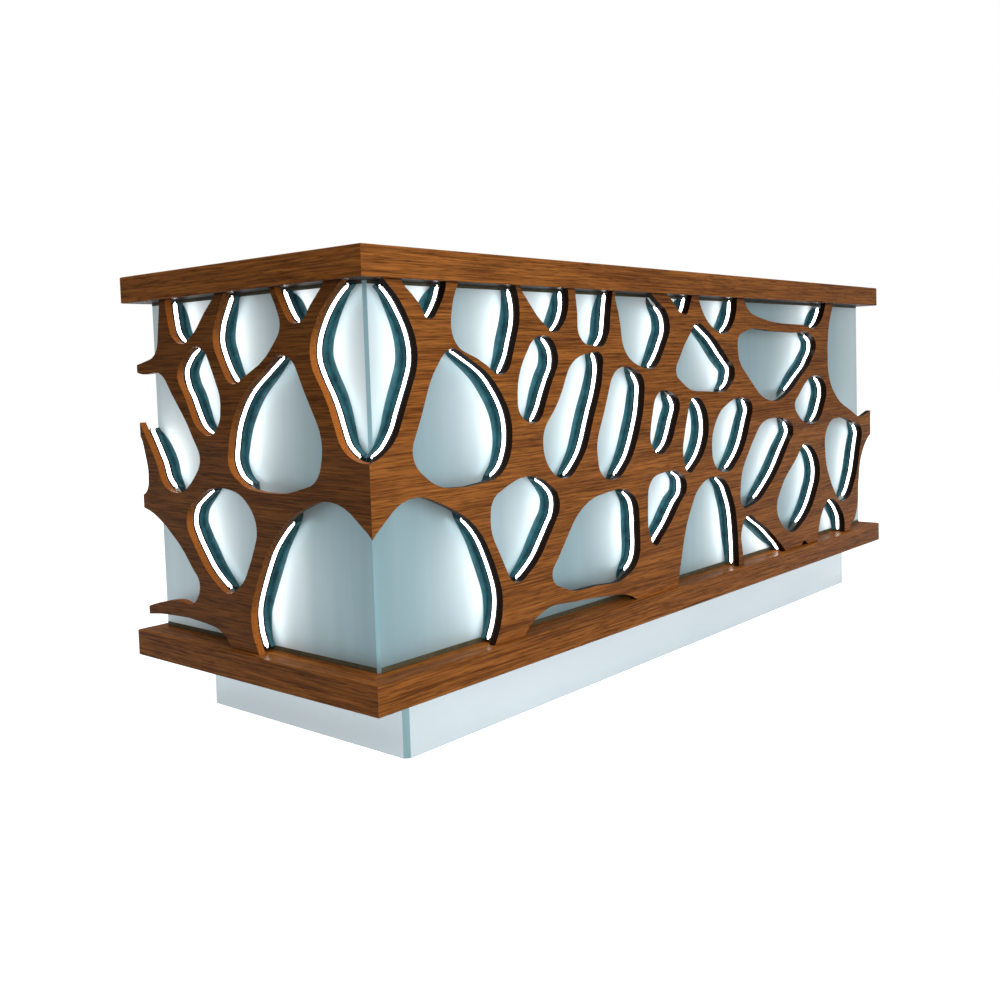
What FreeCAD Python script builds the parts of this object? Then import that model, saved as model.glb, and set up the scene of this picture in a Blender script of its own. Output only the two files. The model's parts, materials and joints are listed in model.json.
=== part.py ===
import FreeCAD, Part
import math
import os

# Reception desk, millimetres. The origin is on the floor under the middle of the desk.
# X runs along the long front, -Y faces the visitor, +Y is the staff side, Z is up.
# The decorated short side faces -X. In plan the desk is a U that opens to the staff side:
# a hollow front wall and two hollow returns stand between a base slab and a counter top.

V = FreeCAD.Vector

# Overall sizes
LENGTH = 2700.0
DEPTH = 930.0
HEIGHT = 1150.0
SLAB = 68.0
SLAB_ARRIS = 2.0
FRONT_WALL_DEPTH = 350.0
RETURN_WIDTH = 270.0

# Layers of the decorated walls, counted inwards from the slabs' edges
LATTICE_SETBACK = 18.0
LATTICE_BOARD = 18.0
STRIP_DEPTH = 22.0
STRIP_WIDTH = 7.0
STRIP_REVEAL = 0.4
GLASS_GAP = 14.0
GLASS_SHEET = 6.0
GLASS_BEVEL_EXTRA = 1.0
CARCASS_BOARD = 18.0
END_INSET = 30.0
END_PANEL = 25.0
RIB_SPACING = 470.0

# The cell pattern is drawn on sheets of these sizes and stretched to the panels
FRONT_SHEET_LENGTH = 2670.0
SIDE_SHEET_LENGTH = 900.0
SHEET_HEIGHT = 860.0
STRIP_FACING = 0.42
ARCH_STRIP_FACING = 0.6
STRIP_SHORTEST = 40.0
STRIP_EDGE_GAP = 3.0
STRIP_SEGMENT_LENGTH = 40.0
STRIP_FEWEST_SEGMENTS = 3
OUTLINE_SAMPLES = 160
CHORD_TURN = math.radians(10.0)
STRAIGHT_RISE = 0.001
PARALLEL_SPREAD = 1e-9

# Plinth and levelling legs
PLINTH_HEIGHT = 154.0
PLINTH_SHEET = 10.0
PLINTH_BEVEL_EXTRA = 2.0
PLINTH_END_INSET = 156.0
PLINTH_FRONT_INSET = 82.0
PLINTH_BACK_INSET = 112.0
PLINTH_INNER_INSET = 30.0
PLINTH_INNER_BOARD = 16.0
PLINTH_FLOOR_GAP = 2.0
LEG_FLANGE_WIDTH = 58.0
LEG_FLANGE = 6.0
LEG_TUBE_WIDTH = 40.0
LEG_TUBE_WALL = 2.5
LEG_FOOT_WIDTH = 48.0
LEG_FOOT = 14.0
LEG_PLUG = 20.0
LEG_CLEARANCE = 0.2
LEG_SPACING = 600.0
LEG_WALL_GAP = 12.0

# Worktop and what hangs from it
WORKTOP_HEIGHT = 740.0
WORKTOP = 25.0
WORKTOP_EDGE_INSET = 25.0
BATTEN_WIDTH = 25.0
BATTEN_HEIGHT = 50.0
GROMMET_BORE_RADIUS = 30.0
GROMMET_WALL = 3.0
GROMMET_RIM = 8.0
GROMMET_RIM_HEIGHT = 3.0
GROMMET_CLEARANCE = 0.2
GROMMET_SPREAD = 1000.0
GROMMET_FROM_WALL = 75.0
TRAY_LENGTH = 800.0
TRAY_WIDTH = 90.0
TRAY_DROP = 70.0
TRAY_FLANGE = 18.0
TRAY_SHEET = 1.5
TRAY_FROM_WALL = 40.0
DRIVER_LENGTH = 180.0
DRIVER_HEIGHT = 62.0
DRIVER_THICKNESS = 34.0
DRIVER_EAR = 16.0
DRIVER_EAR_SHEET = 3.0
DRIVER_ROUND = 3.0
DRIVER_CENTRE_X = 470.0
DRIVER_BOTTOM = 430.0
INLET_LENGTH = 12.0
INLET_WIDTH = 28.0
INLET_HEIGHT = 22.0
INLET_RECESS = 8.0
INLET_WALL = 3.0

# Drawer pedestal and cupboard, one at each end of the knee space
CABINET_WIDTH = 420.0
CABINET_WALL_GAP = 4.0
CABINET_BACK_GAP = 35.0
CABINET_FRONT_INSET = 22.0
CABINET_BOARD = 18.0
GLIDE_HEIGHT = 20.0
GLIDE_WIDTH = 44.0
GLIDE_INSET = 40.0
FACE_BOARD = 18.0
FACE_GAP = 1.5
FACE_REVEAL = 2.0
FACE_SPACING = 3.0
SMALL_DRAWER = 160.0
DRAWER_BOARD = 12.0
DRAWER_BOTTOM = 6.0
DRAWER_BACK_GAP = 12.0
DRAWER_UNDER_GAP = 16.0
DRAWER_OVER_GAP = 34.0
SHELF_CLEARANCE = 0.3

# Telescopic runners: three nested channels on each side of a drawer
RUNNER_SPACE = 13.0
RUNNER_HEIGHT = 45.0
RUNNER_SHEET = 1.5
RUNNER_PLAY = 0.5
RUNNER_ABOVE_BOTTOM = 10.0
RUNNER_END_GAP = 6.0

# Handles
HANDLE_LENGTH = 160.0
HANDLE_WIDTH = 12.0
HANDLE_BAR = 8.0
HANDLE_REACH = 26.0
HANDLE_POST = 10.0
HANDLE_POST_INSET = 14.0
HANDLE_TOP_GAP = 38.0
DOOR_HANDLE_INSET = 38.0

# Door hinges
KNUCKLE_RADIUS = 4.0
KNUCKLE_LENGTH = 36.0
KNUCKLE_PLAY = 0.4
PIN_RADIUS = 2.0
PIN_CLEARANCE = 0.05
LEAF_SHEET = 1.5
LEAF_LENGTH = 40.0
HINGE_END_DISTANCE = 90.0

# Cells of the front panel as (along, up) points on its sheet, from the near corner and the base slab.
# Each list is one smooth closed outline. Outlines that pass the sheet's edge are open there.
FRONT_CELLS = [
    [(125, 880), (180, 812), (218, 776), (245, 802), (268, 880)],
    [(330, 880), (287, 800), (284, 750), (400, 670), (445, 646), (512, 735), (527, 792), (490, 890)],
    [(268, 706), (345, 684), (428, 628), (486, 510), (470, 440), (320, 390), (195, 417), (151, 462),
     (178, 562), (240, 680)],
    [(522, 880), (566, 818), (620, 770), (668, 748), (700, 770), (716, 880)],
    [(600, 738), (648, 732), (672, 698), (640, 612), (560, 523), (516, 552), (510, 600), (535, 678)],
    [(762, 890), (761, 800), (768, 740), (790, 720), (830, 714), (868, 711), (896, 738), (910, 800),
     (916, 890)],
    [(748, 678), (812, 694), (866, 687), (866, 640), (823, 527), (765, 418), (700, 374), (612, 430),
     (604, 474), (672, 575)],
    [(948, 652), (1010, 650), (1066, 612), (1066, 570), (1036, 470), (985, 390), (925, 351),
     (850, 371), (834, 425), (872, 540)],
    [(945, 890), (956, 770), (970, 708), (1065, 650), (1110, 646), (1180, 708), (1208, 775),
     (1195, 806), (1145, 838), (1085, 876)],
    [(1165, 885), (1225, 842), (1270, 810), (1300, 803), (1322, 830), (1338, 890)],
    [(1368, 890), (1396, 815), (1445, 772), (1545, 752), (1585, 782), (1606, 890)],
    [(1356, 776), (1436, 750), (1530, 683), (1588, 614), (1553, 580), (1425, 570), (1282, 596),
     (1238, 636), (1262, 680), (1320, 746)],
    [(1635, 890), (1690, 822), (1760, 801), (1920, 783), (2080, 780), (2182, 770), (2222, 790),
     (2285, 890)],
    [(1665, 756), (1840, 757), (2020, 752), (2140, 747), (2184, 714), (2150, 660), (2058, 598),
     (1960, 544), (1870, 521), (1795, 532), (1695, 594), (1612, 690), (1616, 734)],
    [(2180, 600), (2240, 584), (2268, 548), (2248, 490), (2190, 434), (2140, 428), (2040, 462),
     (2011, 498), (2050, 541)],
    [(2365, 890), (2305, 800), (2283, 700), (2303, 572), (2365, 510), (2480, 460), (2560, 432),
     (2670, 449), (2760, 480), (2760, 890)],
    [(1150, 580), (1205, 576), (1252, 546), (1235, 490), (1185, 415), (1140, 399), (1098, 430),
     (1100, 495)],
    [(1345, 557), (1398, 528), (1420, 468), (1396, 396), (1345, 350), (1295, 332), (1272, 370),
     (1285, 470)],
    [(1555, 533), (1640, 541), (1698, 520), (1680, 452), (1610, 352), (1525, 311), (1450, 345),
     (1437, 408), (1475, 488)],
    [(1775, 455), (1855, 465), (1935, 456), (1995, 420), (1950, 362), (1830, 252), (1700, 190),
     (1620, 196), (1615, 262), (1695, 390)],
    [(2095, 360), (2155, 337), (2204, 265), (2160, 160), (2060, 83), (1985, 60), (1905, 90),
     (1864, 160), (1900, 224), (2000, 302)],
    [(2290, 420), (2385, 437), (2490, 417), (2586, 370), (2568, 315), (2522, 200), (2450, 128),
     (2395, 120), (2300, 200), (2254, 300), (2262, 392)],
    [(2180, -40), (2190, 45), (2220, 100), (2275, 139), (2375, 100), (2412, 50), (2395, -40)],
    [(1640, -40), (1620, 40), (1616, 115), (1650, 153), (1735, 126), (1840, 65), (1930, -10),
     (1950, -40)],
    [(1220, -40), (1243, 70), (1295, 205), (1360, 282), (1440, 305), (1515, 285), (1563, 222),
     (1590, 100), (1580, -40)],
    [(1092, 326), (1160, 345), (1240, 338), (1281, 308), (1225, 228), (1150, 163), (1105, 139),
     (1080, 170), (1071, 245)],
    [(790, 302), (880, 318), (955, 317), (1012, 284), (1028, 200), (1012, 105), (950, 72), (820, 72),
     (680, 88), (628, 122), (665, 188)],
    [(405, 344), (460, 377), (530, 393), (605, 376), (664, 318), (625, 242), (540, 157), (495, 137),
     (430, 210), (396, 300)],
    [(485, -40), (530, 20), (590, 48), (720, 47), (860, 36), (980, 14), (1060, -40)],
    [(2035, -40), (2050, 8), (2070, 15), (2095, 2), (2110, -40)],
    [(2760, 370), (2645, 344), (2578, 276), (2547, 170), (2536, 85), (2500, 34), (2472, 20),
     (2490, -40), (2760, -40)],
]

# Cells of the side panel, along from the near corner towards the staff side
SIDE_CELLS = [
    [(315, 880), (290, 815), (258, 778), (228, 777), (190, 812), (135, 880)],
    [(355, 880), (315, 825), (299, 770), (330, 727), (440, 660), (490, 644), (532, 690), (557, 752),
     (530, 820), (470, 890)],
    [(285, 705), (378, 666), (458, 606), (510, 510), (512, 440), (470, 407), (385, 390), (270, 399),
     (186, 436), (171, 480), (222, 622)],
    [(748, 890), (748, 810), (728, 762), (688, 746), (650, 762), (590, 816), (530, 880)],
    [(620, 737), (685, 714), (713, 680), (682, 605), (632, 533), (590, 519), (552, 545), (539, 595),
     (562, 665)],
    [(960, 678), (870, 674), (790, 672), (745, 622), (665, 518), (636, 455), (665, 412), (735, 372),
     (790, 382), (838, 459), (905, 556), (960, 640)],
    [(960, 702), (870, 705), (812, 726), (792, 790), (792, 890), (960, 890)],
    [(960, 540), (905, 518), (880, 462), (871, 413), (880, 373), (905, 356), (960, 345)],
    [(960, 330), (873, 318), (798, 281), (700, 195), (662, 138), (685, 99), (770, 94), (850, 78),
     (905, 62), (960, 45)],
    [(548, 393), (640, 372), (706, 302), (672, 235), (600, 162), (540, 136), (495, 157), (445, 225),
     (421, 318), (455, 365)],
    [(960, 28), (900, 42), (787, 52), (650, 50), (580, 37), (530, -5), (500, -60), (960, -60)],
]

# The arch at the near corner, open at the base slab, on each panel
CORNER_ARCH_FRONT = [(30, 319), (137, 383), (250, 352), (343, 294), (406, 196), (431, 95), (390, -10),
                     (200, -90), (-70, -90), (-90, 100), (-25, 255)]
CORNER_ARCH_SIDE = [(30, 319), (146, 381), (256, 355), (357, 281), (425, 176), (455, 80), (415, -20),
                    (200, -90), (-70, -90), (-90, 100), (-25, 255)]

# The lemon-shaped cell that wraps the near corner: its half on each panel, from the top down
CORNER_CELL_FRONT = [(0, 905), (80, 858), (139, 794), (172, 710), (133, 588), (79, 498), (0, 468)]
CORNER_CELL_SIDE = [(0, 905), (84, 858), (160, 793), (196, 722), (142, 590), (86, 486), (0, 468)]

# Places worked out from the sizes above
LEFT, RIGHT = -LENGTH / 2, LENGTH / 2
FRONT, BACK = -DEPTH / 2, DEPTH / 2
BASE_TOP = PLINTH_HEIGHT + SLAB
TOP_UNDERSIDE = HEIGHT - SLAB
WALL = (BASE_TOP, TOP_UNDERSIDE)
STRIP_START = LATTICE_SETBACK + LATTICE_BOARD
GLASS_FACE = STRIP_START + STRIP_DEPTH + GLASS_GAP
GLASS_BACK = GLASS_FACE + GLASS_SHEET
GLASS_BEVEL_END = GLASS_BACK + GLASS_BEVEL_EXTRA
PLINTH_BEVEL = PLINTH_SHEET + PLINTH_BEVEL_EXTRA
CARCASS_FACE = GLASS_BACK + CARCASS_BOARD
WALL_RIGHT = RIGHT - END_INSET
WALL_BACK = BACK - END_INSET
INNER_LEFT, INNER_RIGHT = LEFT + RETURN_WIDTH, RIGHT - RETURN_WIDTH
INNER_FRONT = FRONT + FRONT_WALL_DEPTH
WORKTOP_UNDERSIDE = WORKTOP_HEIGHT - WORKTOP

CABINET_FACE = BACK - WORKTOP_EDGE_INSET - CABINET_FRONT_INSET
CABINET_FRONT = CABINET_FACE - FACE_BOARD - FACE_GAP
CABINET_BACK = INNER_FRONT + CABINET_BACK_GAP
CABINET = (GLIDE_HEIGHT, WORKTOP_UNDERSIDE)
DRAWER_CABINET = (INNER_RIGHT - CABINET_WALL_GAP - CABINET_WIDTH, INNER_RIGHT - CABINET_WALL_GAP)
CUPBOARD = (INNER_LEFT + CABINET_WALL_GAP, INNER_LEFT + CABINET_WALL_GAP + CABINET_WIDTH)


def block(x, y, z):
    """A board between two limits on each axis."""
    return Part.makeBox(x[1] - x[0], y[1] - y[0], z[1] - z[0], V(x[0], y[0], z[0]))


def closed(points):
    """Closed wire with straight sides through the points."""
    return Part.makePolygon(points + points[:1])


def prism(plan, z):
    """A plan outline raised between two heights."""
    face = Part.Face(closed([V(px, py, z[0]) for px, py in plan]))
    return face.extrude(V(0, 0, z[1] - z[0]))


def rod(radius, start, end):
    """A round bar from one point to another."""
    axis = end - start
    return Part.makeCylinder(radius, axis.Length, start, axis)


def mirrored(shape):
    """The same piece on the other side of the desk's middle plane."""
    return shape.mirror(V(0, 0, 0), V(1, 0, 0))


def save(node, solids):
    """Write one node; a list is a group of separate solids."""
    shape = Part.makeCompound(solids) if isinstance(solids, list) else solids
    if not shape.isValid():
        raise ValueError(node + " is not valid")
    shape.exportStep("parts/" + node + ".step")


# Slabs

def slab_run(height):
    """U-shaped slab with small arrises, cut along its mitres into a front run and two returns."""
    z = (height, height + SLAB)
    outline = [(LEFT, FRONT), (RIGHT, FRONT), (RIGHT, BACK), (INNER_RIGHT, BACK), (INNER_RIGHT, INNER_FRONT),
               (INNER_LEFT, INNER_FRONT), (INNER_LEFT, BACK), (LEFT, BACK)]
    whole = prism(outline, z)
    rims = [edge for edge in whole.Edges if edge.BoundBox.ZLength < SLAB / 2]
    whole = whole.makeChamfer(SLAB_ARRIS, rims)
    front_plan = [(LEFT, FRONT), (RIGHT, FRONT), (INNER_RIGHT, INNER_FRONT), (INNER_LEFT, INNER_FRONT)]
    left_plan = [(LEFT, FRONT), (INNER_LEFT, INNER_FRONT), (INNER_LEFT, BACK), (LEFT, BACK)]
    front = whole.common(prism(front_plan, z)).Solids[0]
    left = whole.common(prism(left_plan, z)).Solids[0]
    return front, [left, mirrored(left)]


def build_slabs():
    top_front, top_returns = slab_run(TOP_UNDERSIDE)
    save("counter_top_front", top_front)
    save("counter_top_returns", top_returns)
    base_front, base_returns = slab_run(PLINTH_HEIGHT)
    save("base_front", base_front)
    save("base_returns", base_returns)


# Lattice panels and their lit strips

def whole_cell(half):
    """A closed outline that is the same on both sides of the corner, from its half."""
    return half + [(-along, up) for along, up in half[-2:0:-1]]


def stretched(cells, sheet_length, panel_length):
    """Cell outlines moved from their sheet to a panel of the real size."""
    along_scale = panel_length / sheet_length
    up_scale = (TOP_UNDERSIDE - BASE_TOP) / SHEET_HEIGHT
    return [[(along * along_scale, up * up_scale) for along, up in cell] for cell in cells]


def arc_points(start, direction, end):
    """Start, middle and end of the arc that leaves a point in a direction and reaches another point."""
    chord = end - start
    along = V(chord).normalize()
    side = direction - along * direction.dot(along)
    rise = chord.Length / 2 * math.tan(math.atan2(side.Length, direction.dot(along)) / 2)
    if rise < STRAIGHT_RISE:
        return start, None, end
    return start, start + chord / 2 + side.normalize() * rise, end


def arcs_through(points):
    """Closed chain of arcs through the points, two to a span, with no corner.
    The direction at a point is that of the circle through it and its neighbours."""
    directions = []
    for before, here, after in zip(points[-1:] + points[:-1], points, points[1:] + points[:1]):
        back, ahead = here - before, after - here
        directions.append((back / back.dot(back) + ahead / ahead.dot(ahead)).normalize())
    arcs = []
    for i, start in enumerate(points):
        end = points[(i + 1) % len(points)]
        leaving, arriving = directions[i], directions[(i + 1) % len(points)]
        span, both = end - start, leaving + arriving
        spread = 2 * (1 - leaving.dot(arriving))
        reach = span.dot(both)
        if spread > PARALLEL_SPREAD:
            reach = (math.sqrt(reach * reach + spread * span.dot(span)) - reach) / spread
        else:
            reach = span.dot(span) / (2 * reach)
        joint = (start + leaving * reach + end - arriving * reach) / 2
        arcs.append(arc_points(start, leaving, joint))
        arcs.append(arc_points(end, arriving * -1, joint)[::-1])
    return arcs


def cell_outline(cell):
    """A cell's smooth outline on its sheet, with its arcs cut into short chords to keep the mesh light."""
    corners = []
    for start, middle, end in arcs_through([V(along, up, 0) for along, up in cell]):
        if middle is None:
            corners.append(start)
            continue
        arc = Part.Arc(start, middle, end).toShape()
        count = math.ceil((arc.LastParameter - arc.FirstParameter) / CHORD_TURN)
        corners += arc.discretize(Number=count + 1)[:-1]
    return corners


def lattice(cells, panel_length, place, inwards):
    """A board with the cells cut through it, mitred at the near corner."""
    height = TOP_UNDERSIDE - BASE_TOP
    corners = [(LATTICE_SETBACK, 0), (panel_length, 0), (panel_length, height), (LATTICE_SETBACK, height)]
    face = Part.Face(closed([place(along, up) for along, up in corners]))
    holes = [Part.Face(closed([place(p.x, p.y) for p in cell_outline(cell)])) for cell in cells]
    pierced = max(face.cut(holes).Faces, key=lambda piece: piece.Area)
    board = pierced.extrude(inwards * LATTICE_BOARD)
    tip = place(LATTICE_SETBACK, 0)
    run = (place(panel_length, 0) - tip).normalize()
    inner = tip + inwards * LATTICE_BOARD
    wedge = Part.Face(closed([tip, inner, inner + run * LATTICE_BOARD]))
    return board.cut(wedge.extrude(V(0, 0, height))).Solids[0]


def flank_run(cell, facing, panel_length, height):
    """The stretch of a cell's outline, inside the panel, that faces away from the near corner."""
    points = closed(cell_outline(cell)).discretize(Number=OUTLINE_SAMPLES + 1)[:-1]
    following = points[1:] + points[:1]
    area = sum(p.x * q.y - q.x * p.y for p, q in zip(points, following))
    turn = 1.0 if area > 0 else -1.0
    kept = []
    for before, point, after in zip(points[-1:] + points[:-1], points, following):
        tangent = (after - before).normalize()
        normal = V(tangent.y * turn, -tangent.x * turn, 0)
        outer = point + normal * (STRIP_REVEAL + STRIP_WIDTH)
        low, high = min(point.y, outer.y), max(point.y, outer.y)
        inside = low > STRIP_EDGE_GAP and high < height - STRIP_EDGE_GAP
        inside = inside and outer.x < panel_length - STRIP_EDGE_GAP
        kept.append((point, normal) if inside and normal.x > facing else None)
    best, current = [], []
    for item in kept + kept:
        current = current + [item] if item else []
        if OUTLINE_SAMPLES > len(current) > len(best):
            best = current
    return best


def run_length(run):
    """Length of a stretch of outline."""
    return sum((b[0] - a[0]).Length for a, b in zip(run, run[1:]))


def strips(cells, facing, panel_length, place, inwards):
    """One lit strip on the back of the board along the outer flank of each cell."""
    height = TOP_UNDERSIDE - BASE_TOP
    solids = []
    for cell in cells:
        run = flank_run(cell, facing, panel_length, height)
        length = run_length(run)
        if length < STRIP_SHORTEST:
            continue
        count = max(STRIP_FEWEST_SEGMENTS, round(length / STRIP_SEGMENT_LENGTH))
        picked = [run[round(i * (len(run) - 1) / count)] for i in range(count + 1)]
        near = [point + normal * STRIP_REVEAL for point, normal in picked]
        far = [point + normal * (STRIP_REVEAL + STRIP_WIDTH) for point, normal in picked]
        loop = [place(p.x, p.y) + inwards * LATTICE_BOARD for p in near + far[::-1]]
        solids.append(Part.Face(closed(loop)).extrude(inwards * STRIP_DEPTH))
    return solids


def build_panel(side, cells, arch, sheet_length, panel_length, place, inwards):
    """One lattice panel and the strips behind it."""
    arches = stretched([arch], sheet_length, panel_length)
    others = stretched(cells, sheet_length, panel_length)
    lit = strips(arches, ARCH_STRIP_FACING, panel_length, place, inwards)
    lit += strips(others, STRIP_FACING, panel_length, place, inwards)
    save("lattice_" + side, lattice(arches + others, panel_length, place, inwards))
    save("light_strips_" + side, lit)


def build_lattice():
    def on_front(along, up):
        return V(LEFT + along, FRONT + LATTICE_SETBACK, BASE_TOP + up)

    def on_side(along, up):
        return V(LEFT + LATTICE_SETBACK, FRONT + along, BASE_TOP + up)

    front_cells = FRONT_CELLS + [whole_cell(CORNER_CELL_FRONT)]
    side_cells = SIDE_CELLS + [whole_cell(CORNER_CELL_SIDE)]
    build_panel("front", front_cells, CORNER_ARCH_FRONT, FRONT_SHEET_LENGTH, LENGTH - END_INSET,
                on_front, V(0, 1, 0))
    build_panel("side", side_cells, CORNER_ARCH_SIDE, SIDE_SHEET_LENGTH, DEPTH - END_INSET,
                on_side, V(1, 0, 0))


# Glass and the hollow walls behind it

def build_glass():
    end = GLASS_BEVEL_END
    save("glass_front", block((LEFT + end, WALL_RIGHT), (FRONT + GLASS_FACE, FRONT + GLASS_BACK), WALL))
    save("glass_side", block((LEFT + GLASS_FACE, LEFT + GLASS_BACK), (FRONT + end, WALL_BACK), WALL))
    plan = [(end, GLASS_FACE), (end, GLASS_BACK), (GLASS_BACK, end), (GLASS_FACE, end)]
    save("glass_corner_post", prism([(LEFT + px, FRONT + py) for px, py in plan], WALL))


def build_walls():
    front_cavity = (FRONT + CARCASS_FACE, INNER_FRONT - CARCASS_BOARD)
    left_cavity = (LEFT + CARCASS_FACE, INNER_LEFT - CARCASS_BOARD)
    right_cavity = (INNER_RIGHT + CARCASS_BOARD, WALL_RIGHT - END_PANEL)
    return_run = (front_cavity[1], WALL_BACK - CARCASS_BOARD)
    end_board = (WALL_BACK - CARCASS_BOARD, WALL_BACK)

    save("backing_front", block((LEFT + GLASS_BEVEL_END, WALL_RIGHT),
                                (FRONT + GLASS_BACK, front_cavity[0]), WALL))
    save("backing_side", block((LEFT + GLASS_BACK, left_cavity[0]), (front_cavity[0], WALL_BACK), WALL))
    save("lining_front", block((INNER_LEFT, INNER_RIGHT), (front_cavity[1], INNER_FRONT), WALL))
    save("lining_returns", [block((left_cavity[1], INNER_LEFT), return_run, WALL),
                            block((INNER_RIGHT, right_cavity[0]), return_run, WALL)])
    save("end_panel_right", block((right_cavity[1], WALL_RIGHT), (front_cavity[0], WALL_BACK), WALL))
    save("return_ends", [block((left_cavity[0], INNER_LEFT), end_board, WALL),
                         block((INNER_RIGHT, right_cavity[1]), end_board, WALL)])

    rib_count = max(2, round((INNER_RIGHT - INNER_LEFT) / RIB_SPACING))
    rib_pitch = (INNER_RIGHT - INNER_LEFT) / rib_count
    ribs = []
    for i in range(rib_count):
        middle = INNER_LEFT + rib_pitch * (i + 0.5)
        ribs.append(block((middle - CARCASS_BOARD / 2, middle + CARCASS_BOARD / 2), front_cavity, WALL))
    cross = (return_run[0] + return_run[1]) / 2
    cross_rib = (cross - CARCASS_BOARD / 2, cross + CARCASS_BOARD / 2)
    ribs.append(block(left_cavity, cross_rib, WALL))
    ribs.append(block(right_cavity, cross_rib, WALL))
    save("wall_ribs", ribs)


# Plinth and legs

def build_plinth():
    z = (PLINTH_FLOOR_GAP, PLINTH_HEIGHT)
    left, right = LEFT + PLINTH_END_INSET, RIGHT - PLINTH_END_INSET
    front, back = FRONT + PLINTH_FRONT_INSET, BACK - PLINTH_BACK_INSET
    inner_left = INNER_LEFT - PLINTH_INNER_INSET
    inner_front = INNER_FRONT - PLINTH_INNER_INSET

    save("plinth_front", block((left + PLINTH_BEVEL, right - PLINTH_BEVEL),
                               (front, front + PLINTH_SHEET), z))
    side = block((left, left + PLINTH_SHEET), (front + PLINTH_BEVEL, back), z)
    save("plinth_sides", [side, mirrored(side)])
    post_plan = [(left + PLINTH_BEVEL, front), (left + PLINTH_BEVEL, front + PLINTH_SHEET),
                 (left + PLINTH_SHEET, front + PLINTH_BEVEL), (left, front + PLINTH_BEVEL)]
    corner = prism(post_plan, z)
    save("plinth_corner_posts", [corner, mirrored(corner)])
    end = block((left + PLINTH_SHEET, inner_left), (back - PLINTH_SHEET, back), z)
    save("plinth_return_ends", [end, mirrored(end)])
    inner_side = block((inner_left - PLINTH_INNER_BOARD, inner_left), (inner_front, back - PLINTH_SHEET), z)
    inner_cross = block((inner_left - PLINTH_INNER_BOARD, -inner_left + PLINTH_INNER_BOARD),
                        (inner_front - PLINTH_INNER_BOARD, inner_front), z)
    save("plinth_inner", [inner_cross, inner_side, mirrored(inner_side)])


def leg_places():
    """Legs in two rows under the front run, and two under each return."""
    clear = LEG_FLANGE_WIDTH / 2 + LEG_WALL_GAP
    front_row = FRONT + PLINTH_FRONT_INSET + PLINTH_SHEET + clear
    back_row = INNER_FRONT - PLINTH_INNER_INSET - PLINTH_INNER_BOARD - clear
    outer = LEFT + PLINTH_END_INSET + PLINTH_SHEET
    inner = INNER_LEFT - PLINTH_INNER_INSET - PLINTH_INNER_BOARD
    end = (outer + inner) / 2
    count = max(2, round(-2 * end / LEG_SPACING))
    row = [end - 2 * end * i / count for i in range(count + 1)]
    places = [(x, y) for x in row for y in (front_row, back_row)]
    last = BACK - PLINTH_BACK_INSET - PLINTH_SHEET - clear
    places += [(x, y) for x in (end, -end) for y in ((back_row + last) / 2, last)]
    return places


def post(x, y, width, z):
    """Square upright centred on a place in plan."""
    return block((x - width / 2, x + width / 2), (y - width / 2, y + width / 2), z)


def build_legs():
    flanges, tubes, feet = [], [], []
    tube = (LEG_FOOT, PLINTH_HEIGHT - LEG_FLANGE)
    plug = (LEG_FOOT, LEG_FOOT + LEG_PLUG)
    inside = LEG_TUBE_WIDTH - 2 * LEG_TUBE_WALL
    for x, y in leg_places():
        flanges.append(post(x, y, LEG_FLANGE_WIDTH, (tube[1], PLINTH_HEIGHT)))
        tubes.append(post(x, y, LEG_TUBE_WIDTH, tube).cut(post(x, y, inside, tube)))
        pad = post(x, y, LEG_FOOT_WIDTH, (0, LEG_FOOT))
        feet.append(pad.fuse(post(x, y, inside - 2 * LEG_CLEARANCE, plug)).removeSplitter())
    save("leg_flanges", flanges)
    save("leg_tubes", tubes)
    save("leg_feet", feet)


# Worktop, cable fittings and the strips' driver

def build_worktop():
    z = (WORKTOP_UNDERSIDE, WORKTOP_HEIGHT)
    y = (INNER_FRONT, BACK - WORKTOP_EDGE_INSET)
    top = block((INNER_LEFT, INNER_RIGHT), y, z)
    grommets = []
    hole_radius = GROMMET_BORE_RADIUS + GROMMET_WALL + GROMMET_CLEARANCE
    for side in (-1, 1):
        centre = V(side * GROMMET_SPREAD / 2, INNER_FRONT + GROMMET_FROM_WALL, z[0])
        upper = V(centre.x, centre.y, z[1])
        rim_top = V(centre.x, centre.y, z[1] + GROMMET_RIM_HEIGHT)
        top = top.cut(rod(hole_radius, centre, upper))
        sleeve = rod(GROMMET_BORE_RADIUS + GROMMET_WALL, centre, rim_top)
        rim = rod(hole_radius + GROMMET_RIM, upper, rim_top)
        bore = rod(GROMMET_BORE_RADIUS, centre, rim_top)
        grommets.append(sleeve.fuse(rim).cut(bore).removeSplitter())
    save("worktop", top)
    save("cable_grommets", grommets)

    batten_x = (CUPBOARD[1], DRAWER_CABINET[0])
    batten_y = (INNER_FRONT, INNER_FRONT + BATTEN_WIDTH)
    save("worktop_batten", block(batten_x, batten_y, (z[0] - BATTEN_HEIGHT, z[0])))

    y0 = INNER_FRONT + TRAY_FROM_WALL
    y1 = y0 + TRAY_FLANGE
    y2 = y1 + TRAY_WIDTH
    y3 = y2 + TRAY_FLANGE
    up = z[0]
    low = up - TRAY_DROP
    section = [(y0, up), (y1, up), (y1, low + TRAY_SHEET), (y2, low + TRAY_SHEET), (y2, up), (y3, up),
               (y3, up - TRAY_SHEET), (y2 + TRAY_SHEET, up - TRAY_SHEET), (y2 + TRAY_SHEET, low),
               (y1 - TRAY_SHEET, low), (y1 - TRAY_SHEET, up - TRAY_SHEET), (y0, up - TRAY_SHEET)]
    outline = closed([V(-TRAY_LENGTH / 2, py, pz) for py, pz in section])
    tray = Part.Face(outline).extrude(V(TRAY_LENGTH, 0, 0))
    save("cable_tray", tray)


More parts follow.
